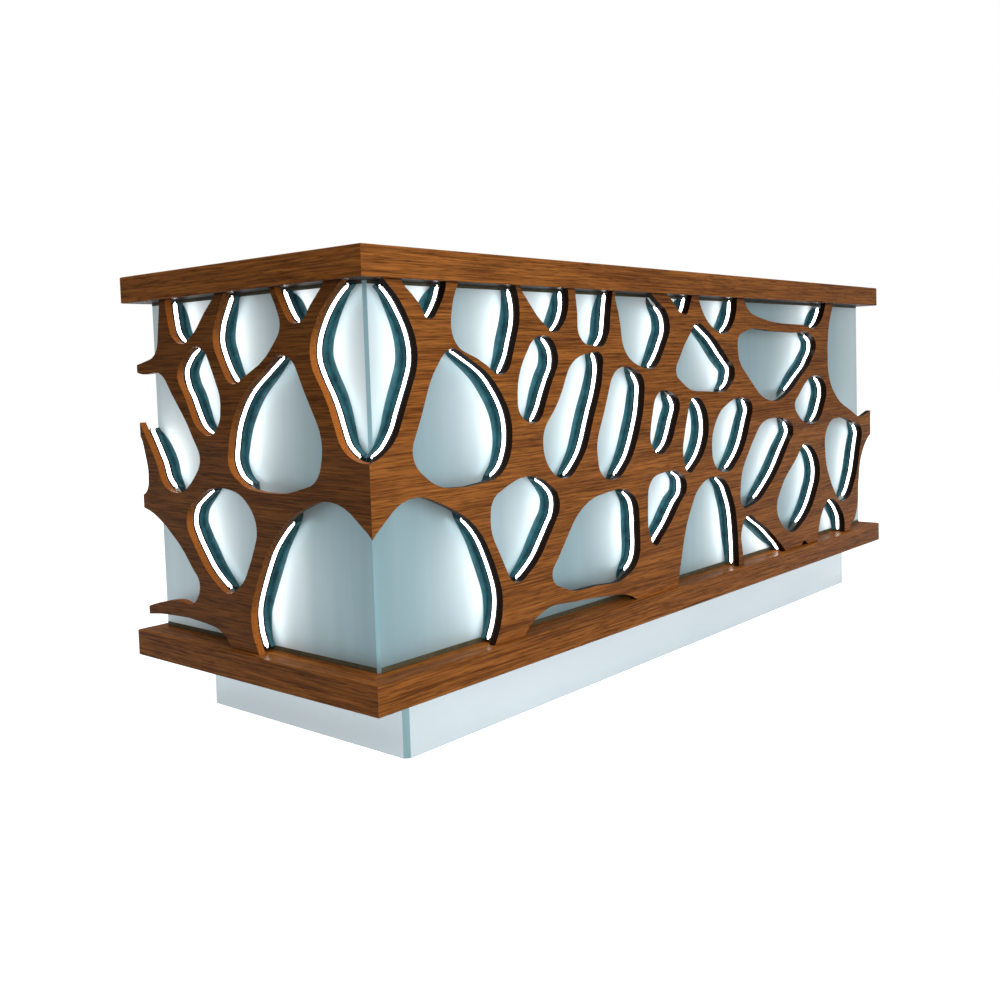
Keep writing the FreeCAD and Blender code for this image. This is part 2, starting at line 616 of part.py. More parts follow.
def build_driver():
    x = (DRIVER_CENTRE_X - DRIVER_LENGTH / 2, DRIVER_CENTRE_X + DRIVER_LENGTH / 2)
    y = (INNER_FRONT, INNER_FRONT + DRIVER_THICKNESS)
    z = (DRIVER_BOTTOM, DRIVER_BOTTOM + DRIVER_HEIGHT)
    case = block(x, y, z)
    outer_edges = [edge for edge in case.Edges if edge.BoundBox.YMin > y[1] - DRIVER_EAR_SHEET]
    case = case.makeFillet(DRIVER_ROUND, outer_edges)
    ears = block((x[0] - DRIVER_EAR, x[1] + DRIVER_EAR), (y[0], y[0] + DRIVER_EAR_SHEET), z)
    save("strip_driver", case.fuse(ears).removeSplitter())
    middle_y, middle_z = (y[0] + y[1]) / 2 + DRIVER_EAR_SHEET / 2, (z[0] + z[1]) / 2
    body = block((x[0] - INLET_LENGTH, x[0]), (middle_y - INLET_WIDTH / 2, middle_y + INLET_WIDTH / 2),
                 (middle_z - INLET_HEIGHT / 2, middle_z + INLET_HEIGHT / 2))
    recess = block((x[0] - INLET_LENGTH, x[0] - INLET_LENGTH + INLET_RECESS),
                   (middle_y - INLET_WIDTH / 2 + INLET_WALL, middle_y + INLET_WIDTH / 2 - INLET_WALL),
                   (middle_z - INLET_HEIGHT / 2 + INLET_WALL, middle_z + INLET_HEIGHT / 2 - INLET_WALL))
    save("driver_inlet", body.cut(recess))


# Cabinets

def cabinet(x):
    """Sides, top, bottom and back of an open-fronted cabinet."""
    y = (CABINET_BACK, CABINET_FRONT)
    inner_x = (x[0] + CABINET_BOARD, x[1] - CABINET_BOARD)
    inner_z = (CABINET[0] + CABINET_BOARD, CABINET[1] - CABINET_BOARD)
    return [block((x[0], inner_x[0]), y, CABINET), block((inner_x[1], x[1]), y, CABINET),
            block(inner_x, y, (CABINET[0], inner_z[0])), block(inner_x, y, (inner_z[1], CABINET[1])),
            block(inner_x, (y[0], y[0] + CABINET_BOARD), inner_z)]


def handle(middle, along):
    """Flat bar on two posts, standing off a front that faces the staff side."""
    out = V(0, 1, 0)
    across = along.cross(out)

    def bar(centre, length, width, depth):
        corner = centre - along * (length / 2) - across * (width / 2)
        far = corner + along * length
        sides = [corner, far, far + across * width, corner + across * width]
        return Part.Face(closed(sides)).extrude(out * depth)

    solids = [bar(middle + out * (HANDLE_REACH - HANDLE_BAR), HANDLE_LENGTH, HANDLE_WIDTH, HANDLE_BAR)]
    for side in (-1, 1):
        foot = middle + along * (side * (HANDLE_LENGTH / 2 - HANDLE_POST_INSET))
        solids.append(bar(foot, HANDLE_POST, HANDLE_POST, HANDLE_REACH - HANDLE_BAR))
    return solids


def runner_channel(wall, inwards, play, depth, centre_z, y, open_to_wall):
    """One channel of a runner: a web and two lips, nested inside the one before it by the play."""
    half = RUNNER_HEIGHT / 2 - play
    near, far = wall + inwards * depth[0], wall + inwards * depth[1]
    outer = block(sorted((near, far)), y, (centre_z - half, centre_z + half))
    if open_to_wall:
        hollow_x = sorted((near, far - inwards * RUNNER_SHEET))
    else:
        hollow_x = sorted((near + inwards * RUNNER_SHEET, far))
    hollow = block(hollow_x, y, (centre_z - half + RUNNER_SHEET, centre_z + half - RUNNER_SHEET))
    return outer.cut(hollow)


def runner_pair(x, y, centre_z):
    """Fixed, middle and drawer members on both sides of a drawer."""
    step = RUNNER_SHEET + RUNNER_PLAY
    fixed, middle, moving = [], [], []
    for wall, inwards in ((x[0], 1), (x[1], -1)):
        fixed.append(runner_channel(wall, inwards, 0, (0, RUNNER_SPACE - step), centre_z, y, False))
        middle.append(runner_channel(wall, inwards, step, (step, RUNNER_SPACE - step), centre_z, y, False))
        moving.append(runner_channel(wall, inwards, 2 * step, (2 * step, RUNNER_SPACE), centre_z, y, True))
    return fixed, middle, moving


def drawer_box(x, y, z):
    """Sides, back, front board and bottom of one drawer."""
    inner_x = (x[0] + DRAWER_BOARD, x[1] - DRAWER_BOARD)
    floor = z[0] + DRAWER_BOTTOM
    return [block((x[0], inner_x[0]), y, z), block((inner_x[1], x[1]), y, z),
            block(inner_x, (y[0], y[0] + DRAWER_BOARD), z), block(inner_x, (y[1] - DRAWER_BOARD, y[1]), z),
            block(inner_x, (y[0] + DRAWER_BOARD, y[1] - DRAWER_BOARD), (z[0], floor))]


def drawer_fronts():
    """Heights of the three fronts, from the top down; the lowest takes what is left."""
    top = CABINET[1] - FACE_REVEAL
    bottom = CABINET[0] + FACE_REVEAL
    first = (top - SMALL_DRAWER, top)
    second = (first[0] - FACE_SPACING - SMALL_DRAWER, first[0] - FACE_SPACING)
    third = (bottom, second[0] - FACE_SPACING)
    return {"top": first, "middle": second, "bottom": third}


def build_drawers():
    save("drawer_cabinet", cabinet(DRAWER_CABINET))
    inner_x = (DRAWER_CABINET[0] + CABINET_BOARD, DRAWER_CABINET[1] - CABINET_BOARD)
    face_x = (DRAWER_CABINET[0] + FACE_REVEAL, DRAWER_CABINET[1] - FACE_REVEAL)
    face_y = (CABINET_FACE - FACE_BOARD, CABINET_FACE)
    box_x = (inner_x[0] + RUNNER_SPACE, inner_x[1] - RUNNER_SPACE)
    box_y = (CABINET_BACK + CABINET_BOARD + DRAWER_BACK_GAP, face_y[0])
    runner_y = (box_y[0], CABINET_FRONT - RUNNER_END_GAP)
    floor = CABINET[0] + CABINET_BOARD
    fixed_runners = []
    for name, face_z in drawer_fronts().items():
        low = max(face_z[0], floor) + DRAWER_UNDER_GAP
        box_z = (low, face_z[1] - DRAWER_OVER_GAP)
        save("drawer_front_" + name, block(face_x, face_y, face_z))
        save("drawer_box_" + name, drawer_box(box_x, box_y, box_z))
        middle = V((face_x[0] + face_x[1]) / 2, CABINET_FACE, face_z[1] - HANDLE_TOP_GAP)
        save("drawer_handle_" + name, handle(middle, V(1, 0, 0)))
        centre_z = low + RUNNER_ABOVE_BOTTOM + RUNNER_HEIGHT / 2
        fixed, middle_members, moving = runner_pair(inner_x, runner_y, centre_z)
        fixed_runners += fixed
        save("runner_middle_" + name, middle_members)
        save("runner_moving_" + name, moving)
    save("runners_fixed", fixed_runners)


def hinge(z, axis_x, axis_y):
    """Lift-off hinge: carcass leaf with the lower knuckle, door leaf with the upper one, and the pin."""
    lower = (z - KNUCKLE_LENGTH, z - KNUCKLE_PLAY / 2)
    upper = (z + KNUCKLE_PLAY / 2, z + KNUCKLE_LENGTH)

    def on_axis(radius, span):
        return rod(radius, V(axis_x, axis_y, span[0]), V(axis_x, axis_y, span[1]))

    def leaf(plate, span):
        return plate.fuse(on_axis(KNUCKLE_RADIUS, span)).cut(on_axis(PIN_RADIUS + PIN_CLEARANCE, span))

    plate_x = (axis_x - KNUCKLE_RADIUS, axis_x - KNUCKLE_RADIUS + LEAF_SHEET)
    carcass_plate = block(plate_x, (CABINET_FRONT - LEAF_LENGTH, axis_y), lower)
    door_plate = block((axis_x, axis_x + LEAF_LENGTH), (CABINET_FACE, CABINET_FACE + LEAF_SHEET), upper)
    pin = on_axis(PIN_RADIUS, (lower[0], upper[1]))
    return leaf(carcass_plate, lower).removeSplitter(), leaf(door_plate, upper).removeSplitter(), pin


def build_cupboard():
    save("cupboard_cabinet", cabinet(CUPBOARD))
    inner_x = (CUPBOARD[0] + CABINET_BOARD + SHELF_CLEARANCE, CUPBOARD[1] - CABINET_BOARD - SHELF_CLEARANCE)
    shelf_z = (CABINET[0] + CABINET[1]) / 2
    save("cupboard_shelf", block(inner_x, (CABINET_BACK + CABINET_BOARD, CABINET_FRONT - GLIDE_INSET),
                                 (shelf_z - CABINET_BOARD / 2, shelf_z + CABINET_BOARD / 2)))
    axis_x = CUPBOARD[0] - LEAF_SHEET + KNUCKLE_RADIUS
    axis_y = CABINET_FACE + KNUCKLE_RADIUS
    door_x = (CUPBOARD[0] + FACE_REVEAL, CUPBOARD[1] - FACE_REVEAL)
    door_z = (CABINET[0] + FACE_REVEAL, CABINET[1] - FACE_REVEAL)
    save("cupboard_door", block(door_x, (CABINET_FACE - FACE_BOARD, CABINET_FACE), door_z))
    grip = V(door_x[1] - DOOR_HANDLE_INSET, CABINET_FACE, door_z[1] - HANDLE_TOP_GAP - HANDLE_LENGTH / 2)
    save("door_handle", handle(grip, V(0, 0, 1)))
    heights = (door_z[0] + HINGE_END_DISTANCE, door_z[1] - HINGE_END_DISTANCE)
    hinges = [hinge(z, axis_x, axis_y) for z in heights]
    save("hinge_leaves_cabinet", [leaves[0] for leaves in hinges])
    save("hinge_leaves_door", [leaves[1] for leaves in hinges])
    save("hinge_pins", [leaves[2] for leaves in hinges])


def build_glides():
    glides = []
    for x in (CUPBOARD, DRAWER_CABINET):
        for px in (x[0] + GLIDE_INSET, x[1] - GLIDE_INSET):
            for py in (CABINET_BACK + GLIDE_INSET, CABINET_FRONT - GLIDE_INSET):
                glides.append(post(px, py, GLIDE_WIDTH, (0, GLIDE_HEIGHT)))
    save("cabinet_glides", glides)


def main():
    os.makedirs("parts", exist_ok=True)
    build_slabs()
    build_lattice()
    build_glass()
    build_walls()
    build_plinth()
    build_legs()
    build_worktop()
    build_driver()
    build_drawers()
    build_cupboard()
    build_glides()


main()
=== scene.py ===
import functools
import json
import math

import bmesh
import bpy
import numpy as np
from bpy.props import FloatProperty, FloatVectorProperty, PointerProperty
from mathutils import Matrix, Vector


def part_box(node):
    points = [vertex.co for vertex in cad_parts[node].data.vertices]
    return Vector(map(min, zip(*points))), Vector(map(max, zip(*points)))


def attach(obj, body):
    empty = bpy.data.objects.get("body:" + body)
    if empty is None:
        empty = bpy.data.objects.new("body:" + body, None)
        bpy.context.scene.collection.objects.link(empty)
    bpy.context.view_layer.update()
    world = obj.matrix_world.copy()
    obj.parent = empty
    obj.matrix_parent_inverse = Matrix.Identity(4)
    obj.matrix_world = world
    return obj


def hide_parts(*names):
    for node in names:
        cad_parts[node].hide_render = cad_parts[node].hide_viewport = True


# Looks of a reception desk, in metres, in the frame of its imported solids.
# The visitor stands at -Y, the decorated short side faces -X, the staff sit at +Y.

bl_info = {
    "name": "Reception desk looks",
    "version": (1, 0, 0),
    "blender": (4, 5, 0),
    "location": "View3D > Sidebar > Desk",
    "description": "Finishes and small pieces of a reception desk with a lit wooden lattice",
    "category": "Object",
}

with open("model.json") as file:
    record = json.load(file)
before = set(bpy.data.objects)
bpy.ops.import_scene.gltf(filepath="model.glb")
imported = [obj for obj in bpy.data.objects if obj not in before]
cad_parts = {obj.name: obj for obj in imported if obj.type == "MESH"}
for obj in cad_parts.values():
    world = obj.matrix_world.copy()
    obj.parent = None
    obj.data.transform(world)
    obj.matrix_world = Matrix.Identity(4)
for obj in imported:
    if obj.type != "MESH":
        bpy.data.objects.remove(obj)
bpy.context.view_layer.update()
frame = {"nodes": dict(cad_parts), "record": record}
NODE_BODY = {node: body for body, nodes in frame["record"]["behaviour"]["bodies"].items() for node in nodes}
NODE_SLOT = {part["node"]: part["material_slot"] for part in frame["record"]["subparts"]}
MM = 0.001


def linear(code):
    """An sRGB hex colour as linear red, green, blue and full alpha."""
    shares = [int(code[i:i + 2], 16) / 255 for i in (1, 3, 5)]
    return tuple(s / 12.92 if s <= 0.04045 else ((s + 0.055) / 1.055) ** 2.4 for s in shares) + (1.0,)


def colour(label, code, description):
    """A colour that a user may change."""
    return FloatVectorProperty(name=label, description=description, subtype="COLOR", size=4, min=0, max=1,
                               default=linear(code))


def length(label, millimetres, description):
    """A length that a user may change."""
    return FloatProperty(name=label, description=description, unit="LENGTH", min=0,
                         default=millimetres * MM)


def level(label, value, description):
    """A brightness, or a share of one, that a user may change."""
    return FloatProperty(name=label, description=description, min=0, default=value)


# Settings

class DeskFinishes(bpy.types.PropertyGroup):
    """Colours of the desk's finishes."""
    veneer_light: colour("Veneer light", "#BC7434", "Pale figure of the walnut veneer")
    veneer_dark: colour("Veneer dark", "#5C3113", "Dark figure of the walnut veneer")
    veneer_pore: colour("Veneer pores", "#351B0A", "Open pores of the walnut veneer")
    # Painted shade: the side panel's veneer is drawn darker for the shade that falls on it
    shaded_panel_light: colour("Side panel light", "#9C6029", "Pale figure of the side panel's veneer in painted shade")
    shaded_panel_dark: colour("Side panel dark", "#4E2A11", "Dark figure of the side panel's veneer in painted shade")
    # Painted shade on the front panel's cut edges and under the counter top
    painted_shade: colour("Dark edge", "#1E1008", "Painted shade in the front panel's cells and under the top")
    # Painted light on the side panel's cut edges, which face towards the light
    painted_lit_edge: colour("Orange edge", "#B3672A", "Painted light on the side panel's cut edges")
    strip: colour("Light strip", "#FFFFFF", "Diffuser of the light strips")
    strip_cloud: colour("Light strip cloud", "#EAF1F6", "Faint cloudiness of the diffuser")
    wall_glass: colour("Wall glass", "#8EABB2", "Silvered glass behind the lattice")
    wall_glass_line: colour("Wall glass lines", "#85A3AB", "Draw lines of the silvered glass")
    # The seals are dark sheets that paint the shade beside the strips and along the glass
    strip_shade_seal: colour("Strip seal", "#38717B", "Dark blue-green rubber between the strips and the glass")
    strip_seal_bloom: colour("Strip seal bloom", "#224C55", "Duller patches of the blue-green rubber")
    # Painted shade along the foot of the glass and under the counter top
    pane_shade_seal: colour("Glass seal", "#57533F", "Dark olive rubber along the foot and the top of the glass")
    pane_seal_bloom: colour("Glass seal bloom", "#45432F", "Duller patches of the olive rubber")
    post_glass: colour("Corner glass", "#90B0B7", "Polished glass edge at the corners")
    post_glass_deep: colour("Corner glass deep", "#80A3AB", "Darker streaks of the polished glass edge")
    plinth_glass: colour("Plinth glass", "#CDD9DE", "Pale glass of the plinth")
    plinth_glass_cloud: colour("Plinth glass cloud", "#C3D1D7", "Faint unevenness of the plinth's glass")
    grey_board: colour("Grey board", "#A8A9A7", "Laminate of the hidden boards")
    grey_board_drift: colour("Grey board drift", "#9C9D9B", "Uneven tone of the grey laminate")
    white_board: colour("White board", "#E2E0DB", "Laminate of the staff side")
    white_board_drift: colour("White board drift", "#D5D3CE", "Uneven tone of the white laminate")
    plastic: colour("Plastic", "#1B1B1C", "Moulded black plastic")
    plastic_bright: colour("Plastic grain", "#2D2D2E", "Bright points of the moulded grain")
    steel: colour("Steel", "#BFC1C2", "Zinc-plated steel")
    steel_spangle: colour("Steel spangle", "#A5A9AE", "Spangle of the zinc plating")
    powder_coat: colour("Powder coat", "#6E7173", "Grey powder coat")
    powder_coat_peel: colour("Powder coat peel", "#5C5F61", "Hollows of the orange-peel surface")
    aluminium: colour("Aluminium", "#C9C9C8", "Satin anodised aluminium")
    aluminium_hair: colour("Aluminium hair lines", "#AEAEAE", "Brushed hair lines")


class DeskSizes(bpy.types.PropertyGroup):
    """Sizes that only the looks need."""
    panel_arris: length("Panel arris", 0.9, "Rounding along the edges of the lattice panels")
    board_arris: length("Board arris", 0.8, "Rounding along the edges of boards and fronts")
    handle_arris: length("Handle arris", 1.5, "Rounding along the edges of handles")
    fitting_arris: length("Fitting arris", 0.3, "Rounding along the edges of hinges and grommets")
    strip_width: length("Strip width", 7.0, "Width of a light strip on the back of the board")
    strip_end: length("Strip end", 8.0, "Rounding of the ends of the light strips")
    strip_step: length("Strip step", 6.0, "Distance between two sections of a light strip")
    diffuser_depth: length("Diffuser depth", 4.0, "How far the diffuser reaches into its channel")
    diffuser_proud: length("Diffuser proud", 0.8, "How far the diffuser stands out of its channel")
    # The channel's black lip is a real part, drawn wide enough to also paint the thin shade line on each
    # side of a strip
    channel_lip: length("Channel lip", 5.4, "Lip of the channel on each side of the diffuser")
    pane_step: length("Glass step", 9.0, "Distance between two points of the glass that get a glow")
    glow_spread: length("Glow spread", 60.0, "How far the bright part of a strip's glow spreads")
    glow_far: length("Faint glow spread", 170.0, "How far the faint part of a strip's glow spreads")
    glow_end: length("End glow", 230.0, "How far painted glow at the free end of the glass reaches")
    glow_step: length("Glow step", 12.0, "Length of strip that is summed as one point of light")
    seal_foot: length("Seal foot", 18.0, "How far a seal's foot reaches over the glass at its widest")
    seal_tuck: length("Seal tuck", 15.0, "How far the ends of a seal's foot are tucked behind the board")
    seal_run: length("Seal run", 22.0, "How far a seal's foot runs on past a strip's end")
    seal_sheet: length("Seal sheet", 1.0, "Thickness of a seal")
    seal_air: length("Seal air", 0.2, "Air between a seal and the glass")
    seal_low: length("Lower seal", 12.0, "Height of the seal along the foot of the glass")
    seal_high: length("Upper seal", 7.0, "Height of the seal along the top of the glass")
    figure_length: length("Figure length", 900.0, "Length of a stretch of veneer figure")
    figure_width: length("Figure width", 34.0, "Width of a stretch of veneer figure")
    streak_length: length("Streak length", 170.0, "Length of a streak in the veneer")
    streak_width: length("Streak width", 4.0, "Width of a streak in the veneer")
    pore_length: length("Pore length", 48.0, "Length of a pore, drawn coarse so that it shows")
    pore_width: length("Pore width", 2.2, "Width of a pore, drawn coarse so that it shows")
    screw_radius: length("Screw radius", 3.6, "Radius of a small screw's head")
    screw_margin: length("Screw margin", 9.0, "Distance of a screw from a fitting's end")
    hinge_sheet: length("Hinge sheet", 1.5, "Thickness of a hinge leaf and of the cable tray")
    driver_ear: length("Driver ear", 3.0, "Thickness of the driver's ears")


class DeskStage(bpy.types.PropertyGroup):
    """Floor, light and camera."""
    floor_radius: length("Floor radius", 14000.0, "Radius of the floor")
    floor_colour: colour("Floor", "#F2F3F4", "Pale floor")
    floor_drift: colour("Floor drift", "#E9EAEB", "Faint uneven tone of the floor")
    floor_glow: level("Floor glow", 0.95, "Light of the floor itself, which softens the shadows on it")
    strip_power: level("Strip power", 5.0, "Brightness of the light strips")
    glass_glow: level("Glass glow", 0.8, "Brightness of the glow that a strip leaves in the glass")
    near_share: level("Bright glow share", 0.75, "Share of the bright part in a strip's glow")
    far_share: level("Faint glow share", 0.25, "Share of the faint part in a strip's glow")
    end_share: level("End glow share", 0.25, "Glow at the free end of the glass")
    sky_front: level("Sky in front", 0.90, "Brightness of the sky on the visitor side")
    sky_rest: level("Sky elsewhere", 0.34, "Brightness of the sky on the other sides")
    sky_below: level("Sky below", 0.03, "Brightness from under the floor")
    key_power: FloatProperty(name="Key power", description="Power of the softbox in front", unit="POWER",
                             default=34.0)
    key_wide: length("Softbox width", 2600.0, "Width of the softbox")
    key_tall: length("Softbox height", 2000.0, "Height of the softbox")
    key_place: FloatVectorProperty(name="Softbox place", description="Where the softbox stands",
                                   unit="LENGTH", default=(-1.9, -2.7, 1.1))
    key_turn: FloatVectorProperty(name="Softbox turn", description="How the softbox is turned",
                                  unit="ROTATION", default=tuple(math.radians(a) for a in (88, 0, -12)))
    sun_power: level("Light from above", 0.4, "Strength of the soft light from above")
    sun_spread: FloatProperty(name="Spread from above", description="How wide the light from above is",
                              subtype="ANGLE", default=math.radians(60))
    lens: FloatProperty(name="Lens", description="Focal length on a 36 mm sensor",
                        subtype="DISTANCE_CAMERA", default=39.33)
    camera_place: FloatVectorProperty(name="Camera place", description="Where the camera stands",
                                      unit="LENGTH", default=(-2.8796, -2.1579, 0.8860))
    camera_turn: FloatVectorProperty(name="Camera turn", description="How the camera is turned",
                                     unit="ROTATION",
                                     default=tuple(math.radians(a) for a in (86.439, 1.781, -49.675)))
    shift_x: FloatProperty(name="Shift X", description="Sideways shift of the lens", default=-0.01055)
    shift_y: FloatProperty(name="Shift Y", description="Upward shift of the lens", default=-0.06508)


# Nodes

# Colour sockets of a Mix node
FROM_COLOUR, TO_COLOUR, MIXED_COLOUR = 6, 7, 2
# Number sockets of a Mix node
FROM_NUMBER, TO_NUMBER, MIXED_NUMBER = 2, 3, 0
# Attribute of the wall glass: the share of the strips' light that is painted on it as a glow
GLOW = "glow"
# Attribute of a veneered piece: how much a face takes a painted tone of light or shade
SHADING_ATTRIBUTE = "painted_shading"
# The stretch of a noise where nearly all of its values lie
NOISE_SPAN = (0.3, 0.7)


def feed(node, inputs):
    """Give a node's inputs other nodes' outputs or constants."""
    for key, value in inputs.items():
        if isinstance(value, bpy.types.NodeSocket):
            node.id_data.links.new(value, node.inputs[key])
        else:
            node.inputs[key].default_value = value


def add(tree, kind, inputs=None, **settings):
    """Add one node with its settings, inputs and links."""
    node = tree.nodes.new(kind)
    for key, value in settings.items():
        setattr(node, key, value)
    feed(node, inputs or {})
    return node


def pattern(tree, place, size, span=NOISE_SPAN, share=(0.0, 1.0), detail=3.0, distortion=0.0):
    """Noise whose features have the given size in metres along each axis; its stretch inside the span
    becomes the share."""
    scaled = add(tree, "ShaderNodeMapping", {"Vector": place, "Scale": tuple(1 / s for s in size)})
    noise = add(tree, "ShaderNodeTexNoise", {"Vector": scaled.outputs["Vector"], "Scale": 1.0,
                                             "Detail": detail, "Distortion": distortion})
    spread = add(tree, "ShaderNodeMapRange", {"Value": noise.outputs["Fac"], "From Min": span[0],
                                              "From Max": span[1], "To Min": share[0], "To Max": share[1]})
    return spread.outputs["Result"]


def new_material(name, constants):
    """A material with one Principled shader, its node tree and its Object coordinates."""
    material = bpy.data.materials.new(name)
    material.use_nodes = True
    tree = material.node_tree
    shader = tree.nodes["Principled BSDF"]
    feed(shader, constants)
    return material, tree, shader, add(tree, "ShaderNodeTexCoord").outputs["Object"]


# Materials

def walnut(name, light, dark, cut, finishes, sizes, along):
    """Sliced walnut veneer with level grain under clear lacquer: long brown figure, thin streaks and dark
    pores that follow the grain, and a faint clear reflection on top. Faces marked by an attribute take a
    painted tone of light or shade instead."""
    material, tree, shader, place = new_material(name, {
        "IOR": 1.5, "Specular IOR Level": 0.02, "Coat Weight": 0.05, "Coat Roughness": 0.06})
    streak_share, pore_share = 0.6, 0.7

    def grain(long, wide):
        return tuple(long if axis == along else wide for axis in "xyz")

    figure = pattern(tree, place, grain(sizes.figure_length, sizes.figure_width), detail=4.0,
                     distortion=0.6)
    streak = pattern(tree, place, grain(sizes.streak_length, sizes.streak_width), span=(0.36, 0.64))
    pores = pattern(tree, place, grain(sizes.pore_length, sizes.pore_width), span=(0.5, 0.72), detail=2.0)
    tone = add(tree, "ShaderNodeMix", {"Factor": streak_share, FROM_NUMBER: figure, TO_NUMBER: streak})
    body = add(tree, "ShaderNodeMix", {"Factor": tone.outputs[MIXED_NUMBER], FROM_COLOUR: dark,
                                       TO_COLOUR: light}, data_type="RGBA")
    # Share of the painted light or shade that replaces the veneer's own tone
    painted_shading = add(tree, "ShaderNodeAttribute", attribute_name=SHADING_ATTRIBUTE).outputs["Fac"]
    toned = add(tree, "ShaderNodeMix", {"Factor": painted_shading, FROM_COLOUR: body.outputs[MIXED_COLOUR],
                                        TO_COLOUR: cut}, data_type="RGBA")
    depth = add(tree, "ShaderNodeMath", {0: pores, 1: pore_share}, operation="MULTIPLY")
    pored = add(tree, "ShaderNodeMix", {"Factor": depth.outputs[0], TO_COLOUR: finishes.veneer_pore,
                                        FROM_COLOUR: toned.outputs[MIXED_COLOUR]}, data_type="RGBA")
    dull = add(tree, "ShaderNodeMapRange", {"Value": pores, "To Min": 0.36, "To Max": 0.55})
    relief = add(tree, "ShaderNodeBump", {"Height": pores, "Distance": 0.06 * MM}, invert=True)
    feed(shader, {"Base Color": pored.outputs[MIXED_COLOUR], "Roughness": dull.outputs["Result"],
                  "Normal": relief.outputs["Normal"]})
    return material


def walnut_along_front(finishes, sizes):
    """Walnut veneer whose grain runs along the long front."""
    return walnut("walnut veneer, grain along the front", finishes.veneer_light, finishes.veneer_dark,
                  finishes.painted_shade, finishes, sizes, "x")


def walnut_along_side(finishes, sizes):
    """Walnut veneer whose grain runs along the short sides."""
    return walnut("walnut veneer, grain along the sides", finishes.veneer_light, finishes.veneer_dark,
                  finishes.painted_shade, finishes, sizes, "y")


def walnut_in_painted_shade(finishes, sizes):
    """Walnut veneer drawn darker as painted shade, for the panel on the short side, with painted light on
    its cut edges.
    """
    return walnut("walnut veneer, shade painted in", finishes.shaded_panel_light, finishes.shaded_panel_dark, finishes.painted_lit_edge,
                  finishes, sizes, "y")


def two_tone(name, constants, size, tones, roughness=None, relief=None, detail=3.0):
    """A material of two tones in one noise pattern. The same pattern may vary the roughness between two
    values and raise a fine relief."""
    material, tree, shader, place = new_material(name, constants)
    noise = pattern(tree, place, size, detail=detail)
    tint = add(tree, "ShaderNodeMix", {"Factor": noise, FROM_COLOUR: tones[0], TO_COLOUR: tones[1]},
               data_type="RGBA")
    feed(shader, {"Base Color": tint.outputs[MIXED_COLOUR]})
    if roughness:
        dull = add(tree, "ShaderNodeMapRange", {"Value": noise, "To Min": roughness[0],
                                                "To Max": roughness[1]})
        feed(shader, {"Roughness": dull.outputs["Result"]})
    if relief:
        raised = add(tree, "ShaderNodeBump", {"Height": noise, "Distance": relief})
        feed(shader, {"Normal": raised.outputs["Normal"]})
    return material


def lit_opal(finishes, sizes):
    """Extruded opal acrylic over a light tape: an even white glow with a faint cloudiness."""
    lit = {"Roughness": 0.4, "Emission Color": finishes.strip,
           "Emission Strength": bpy.context.scene.desk_stage.strip_power}
    return two_tone("opal acrylic, lit", lit, (40 * MM,) * 3, (finishes.strip, finishes.strip_cloud))


def silvered_glass(finishes, sizes):
    """Float glass, silvered and satined: a pale blue-green sheen that softens what is far from it, with
    faint upright draw lines, and a painted white glow that stands in for the light of the strips on it."""
    material = two_tone("satin silvered glass", {"Metallic": 0.5, "Emission Color": finishes.strip},
                        (60 * MM, 60 * MM, 900 * MM), (finishes.wall_glass, finishes.wall_glass_line),
                        (0.46, 0.5))
    tree = material.node_tree
    share = add(tree, "ShaderNodeAttribute", attribute_name=GLOW).outputs["Fac"]
    power = add(tree, "ShaderNodeMath", {0: share, 1: bpy.context.scene.desk_stage.glass_glow},
                operation="MULTIPLY")
    feed(tree.nodes["Principled BSDF"], {"Emission Strength": power.outputs[0]})
    return material


def rubber(name, tones):
    """Extruded rubber: dark, with duller patches and a soft shine."""
    return two_tone(name, {"Specular IOR Level": 0.3}, (25 * MM,) * 3, tones, (0.35, 0.5))


def strip_shade_rubber(finishes, sizes):
    """Blue-green rubber of the seals behind the strips, a dark sheet that paints the band of shade beside
    each strip.
    """
    return rubber("extruded rubber, blue-green", (finishes.strip_shade_seal, finishes.strip_seal_bloom))


def pane_shade_rubber(finishes, sizes):
    """Olive rubber of the seals along the foot and the top of the glass, a dark sheet that paints the shade
    there.
    """
    return rubber("extruded rubber, olive", (finishes.pane_shade_seal, finishes.pane_seal_bloom))


def polished_edge(finishes, sizes):
    """Ground and polished edge of float glass: blue-green, with a soft shine that takes up nearby light."""
    return two_tone("polished glass edge", {"Metallic": 0.5}, (30 * MM, 30 * MM, 400 * MM),
                    (finishes.post_glass, finishes.post_glass_deep), (0.3, 0.4))


def pale_glass(finishes, sizes):
    """Back-painted float glass: pale blue-white with a clear, even reflection of the floor."""
    shine = {"Metallic": 0.6, "Roughness": 0.12, "Coat Weight": 0.5, "Coat Roughness": 0.03}
    return two_tone("pale back-painted glass", shine, (600 * MM, 600 * MM, 200 * MM),
                    (finishes.plinth_glass, finishes.plinth_glass_cloud))


def laminate(name, tint, drift, grit):
    """Matt laminate pressed on board: an even tone with a fine pebbled relief."""
    material, tree, shader, place = new_material(name, {})
    pebbles = pattern(tree, place, (grit,) * 3, detail=2.0)
    tone = add(tree, "ShaderNodeMix", {"Factor": pattern(tree, place, (180 * MM,) * 3), FROM_COLOUR: tint,
                                       TO_COLOUR: drift}, data_type="RGBA")
    dull = add(tree, "ShaderNodeMapRange", {"Value": pebbles, "To Min": 0.44, "To Max": 0.58})
    relief = add(tree, "ShaderNodeBump", {"Height": pebbles, "Distance": 0.06 * MM})
    feed(shader, {"Base Color": tone.outputs[MIXED_COLOUR], "Roughness": dull.outputs["Result"],
                  "Normal": relief.outputs["Normal"]})
    return material


def grey_laminate(finishes, sizes):
    """Laminate of the boards that stay out of sight; its grit is drawn coarse so that it shows."""
    return laminate("grey laminate", finishes.grey_board, finishes.grey_board_drift, 1.5 * MM)


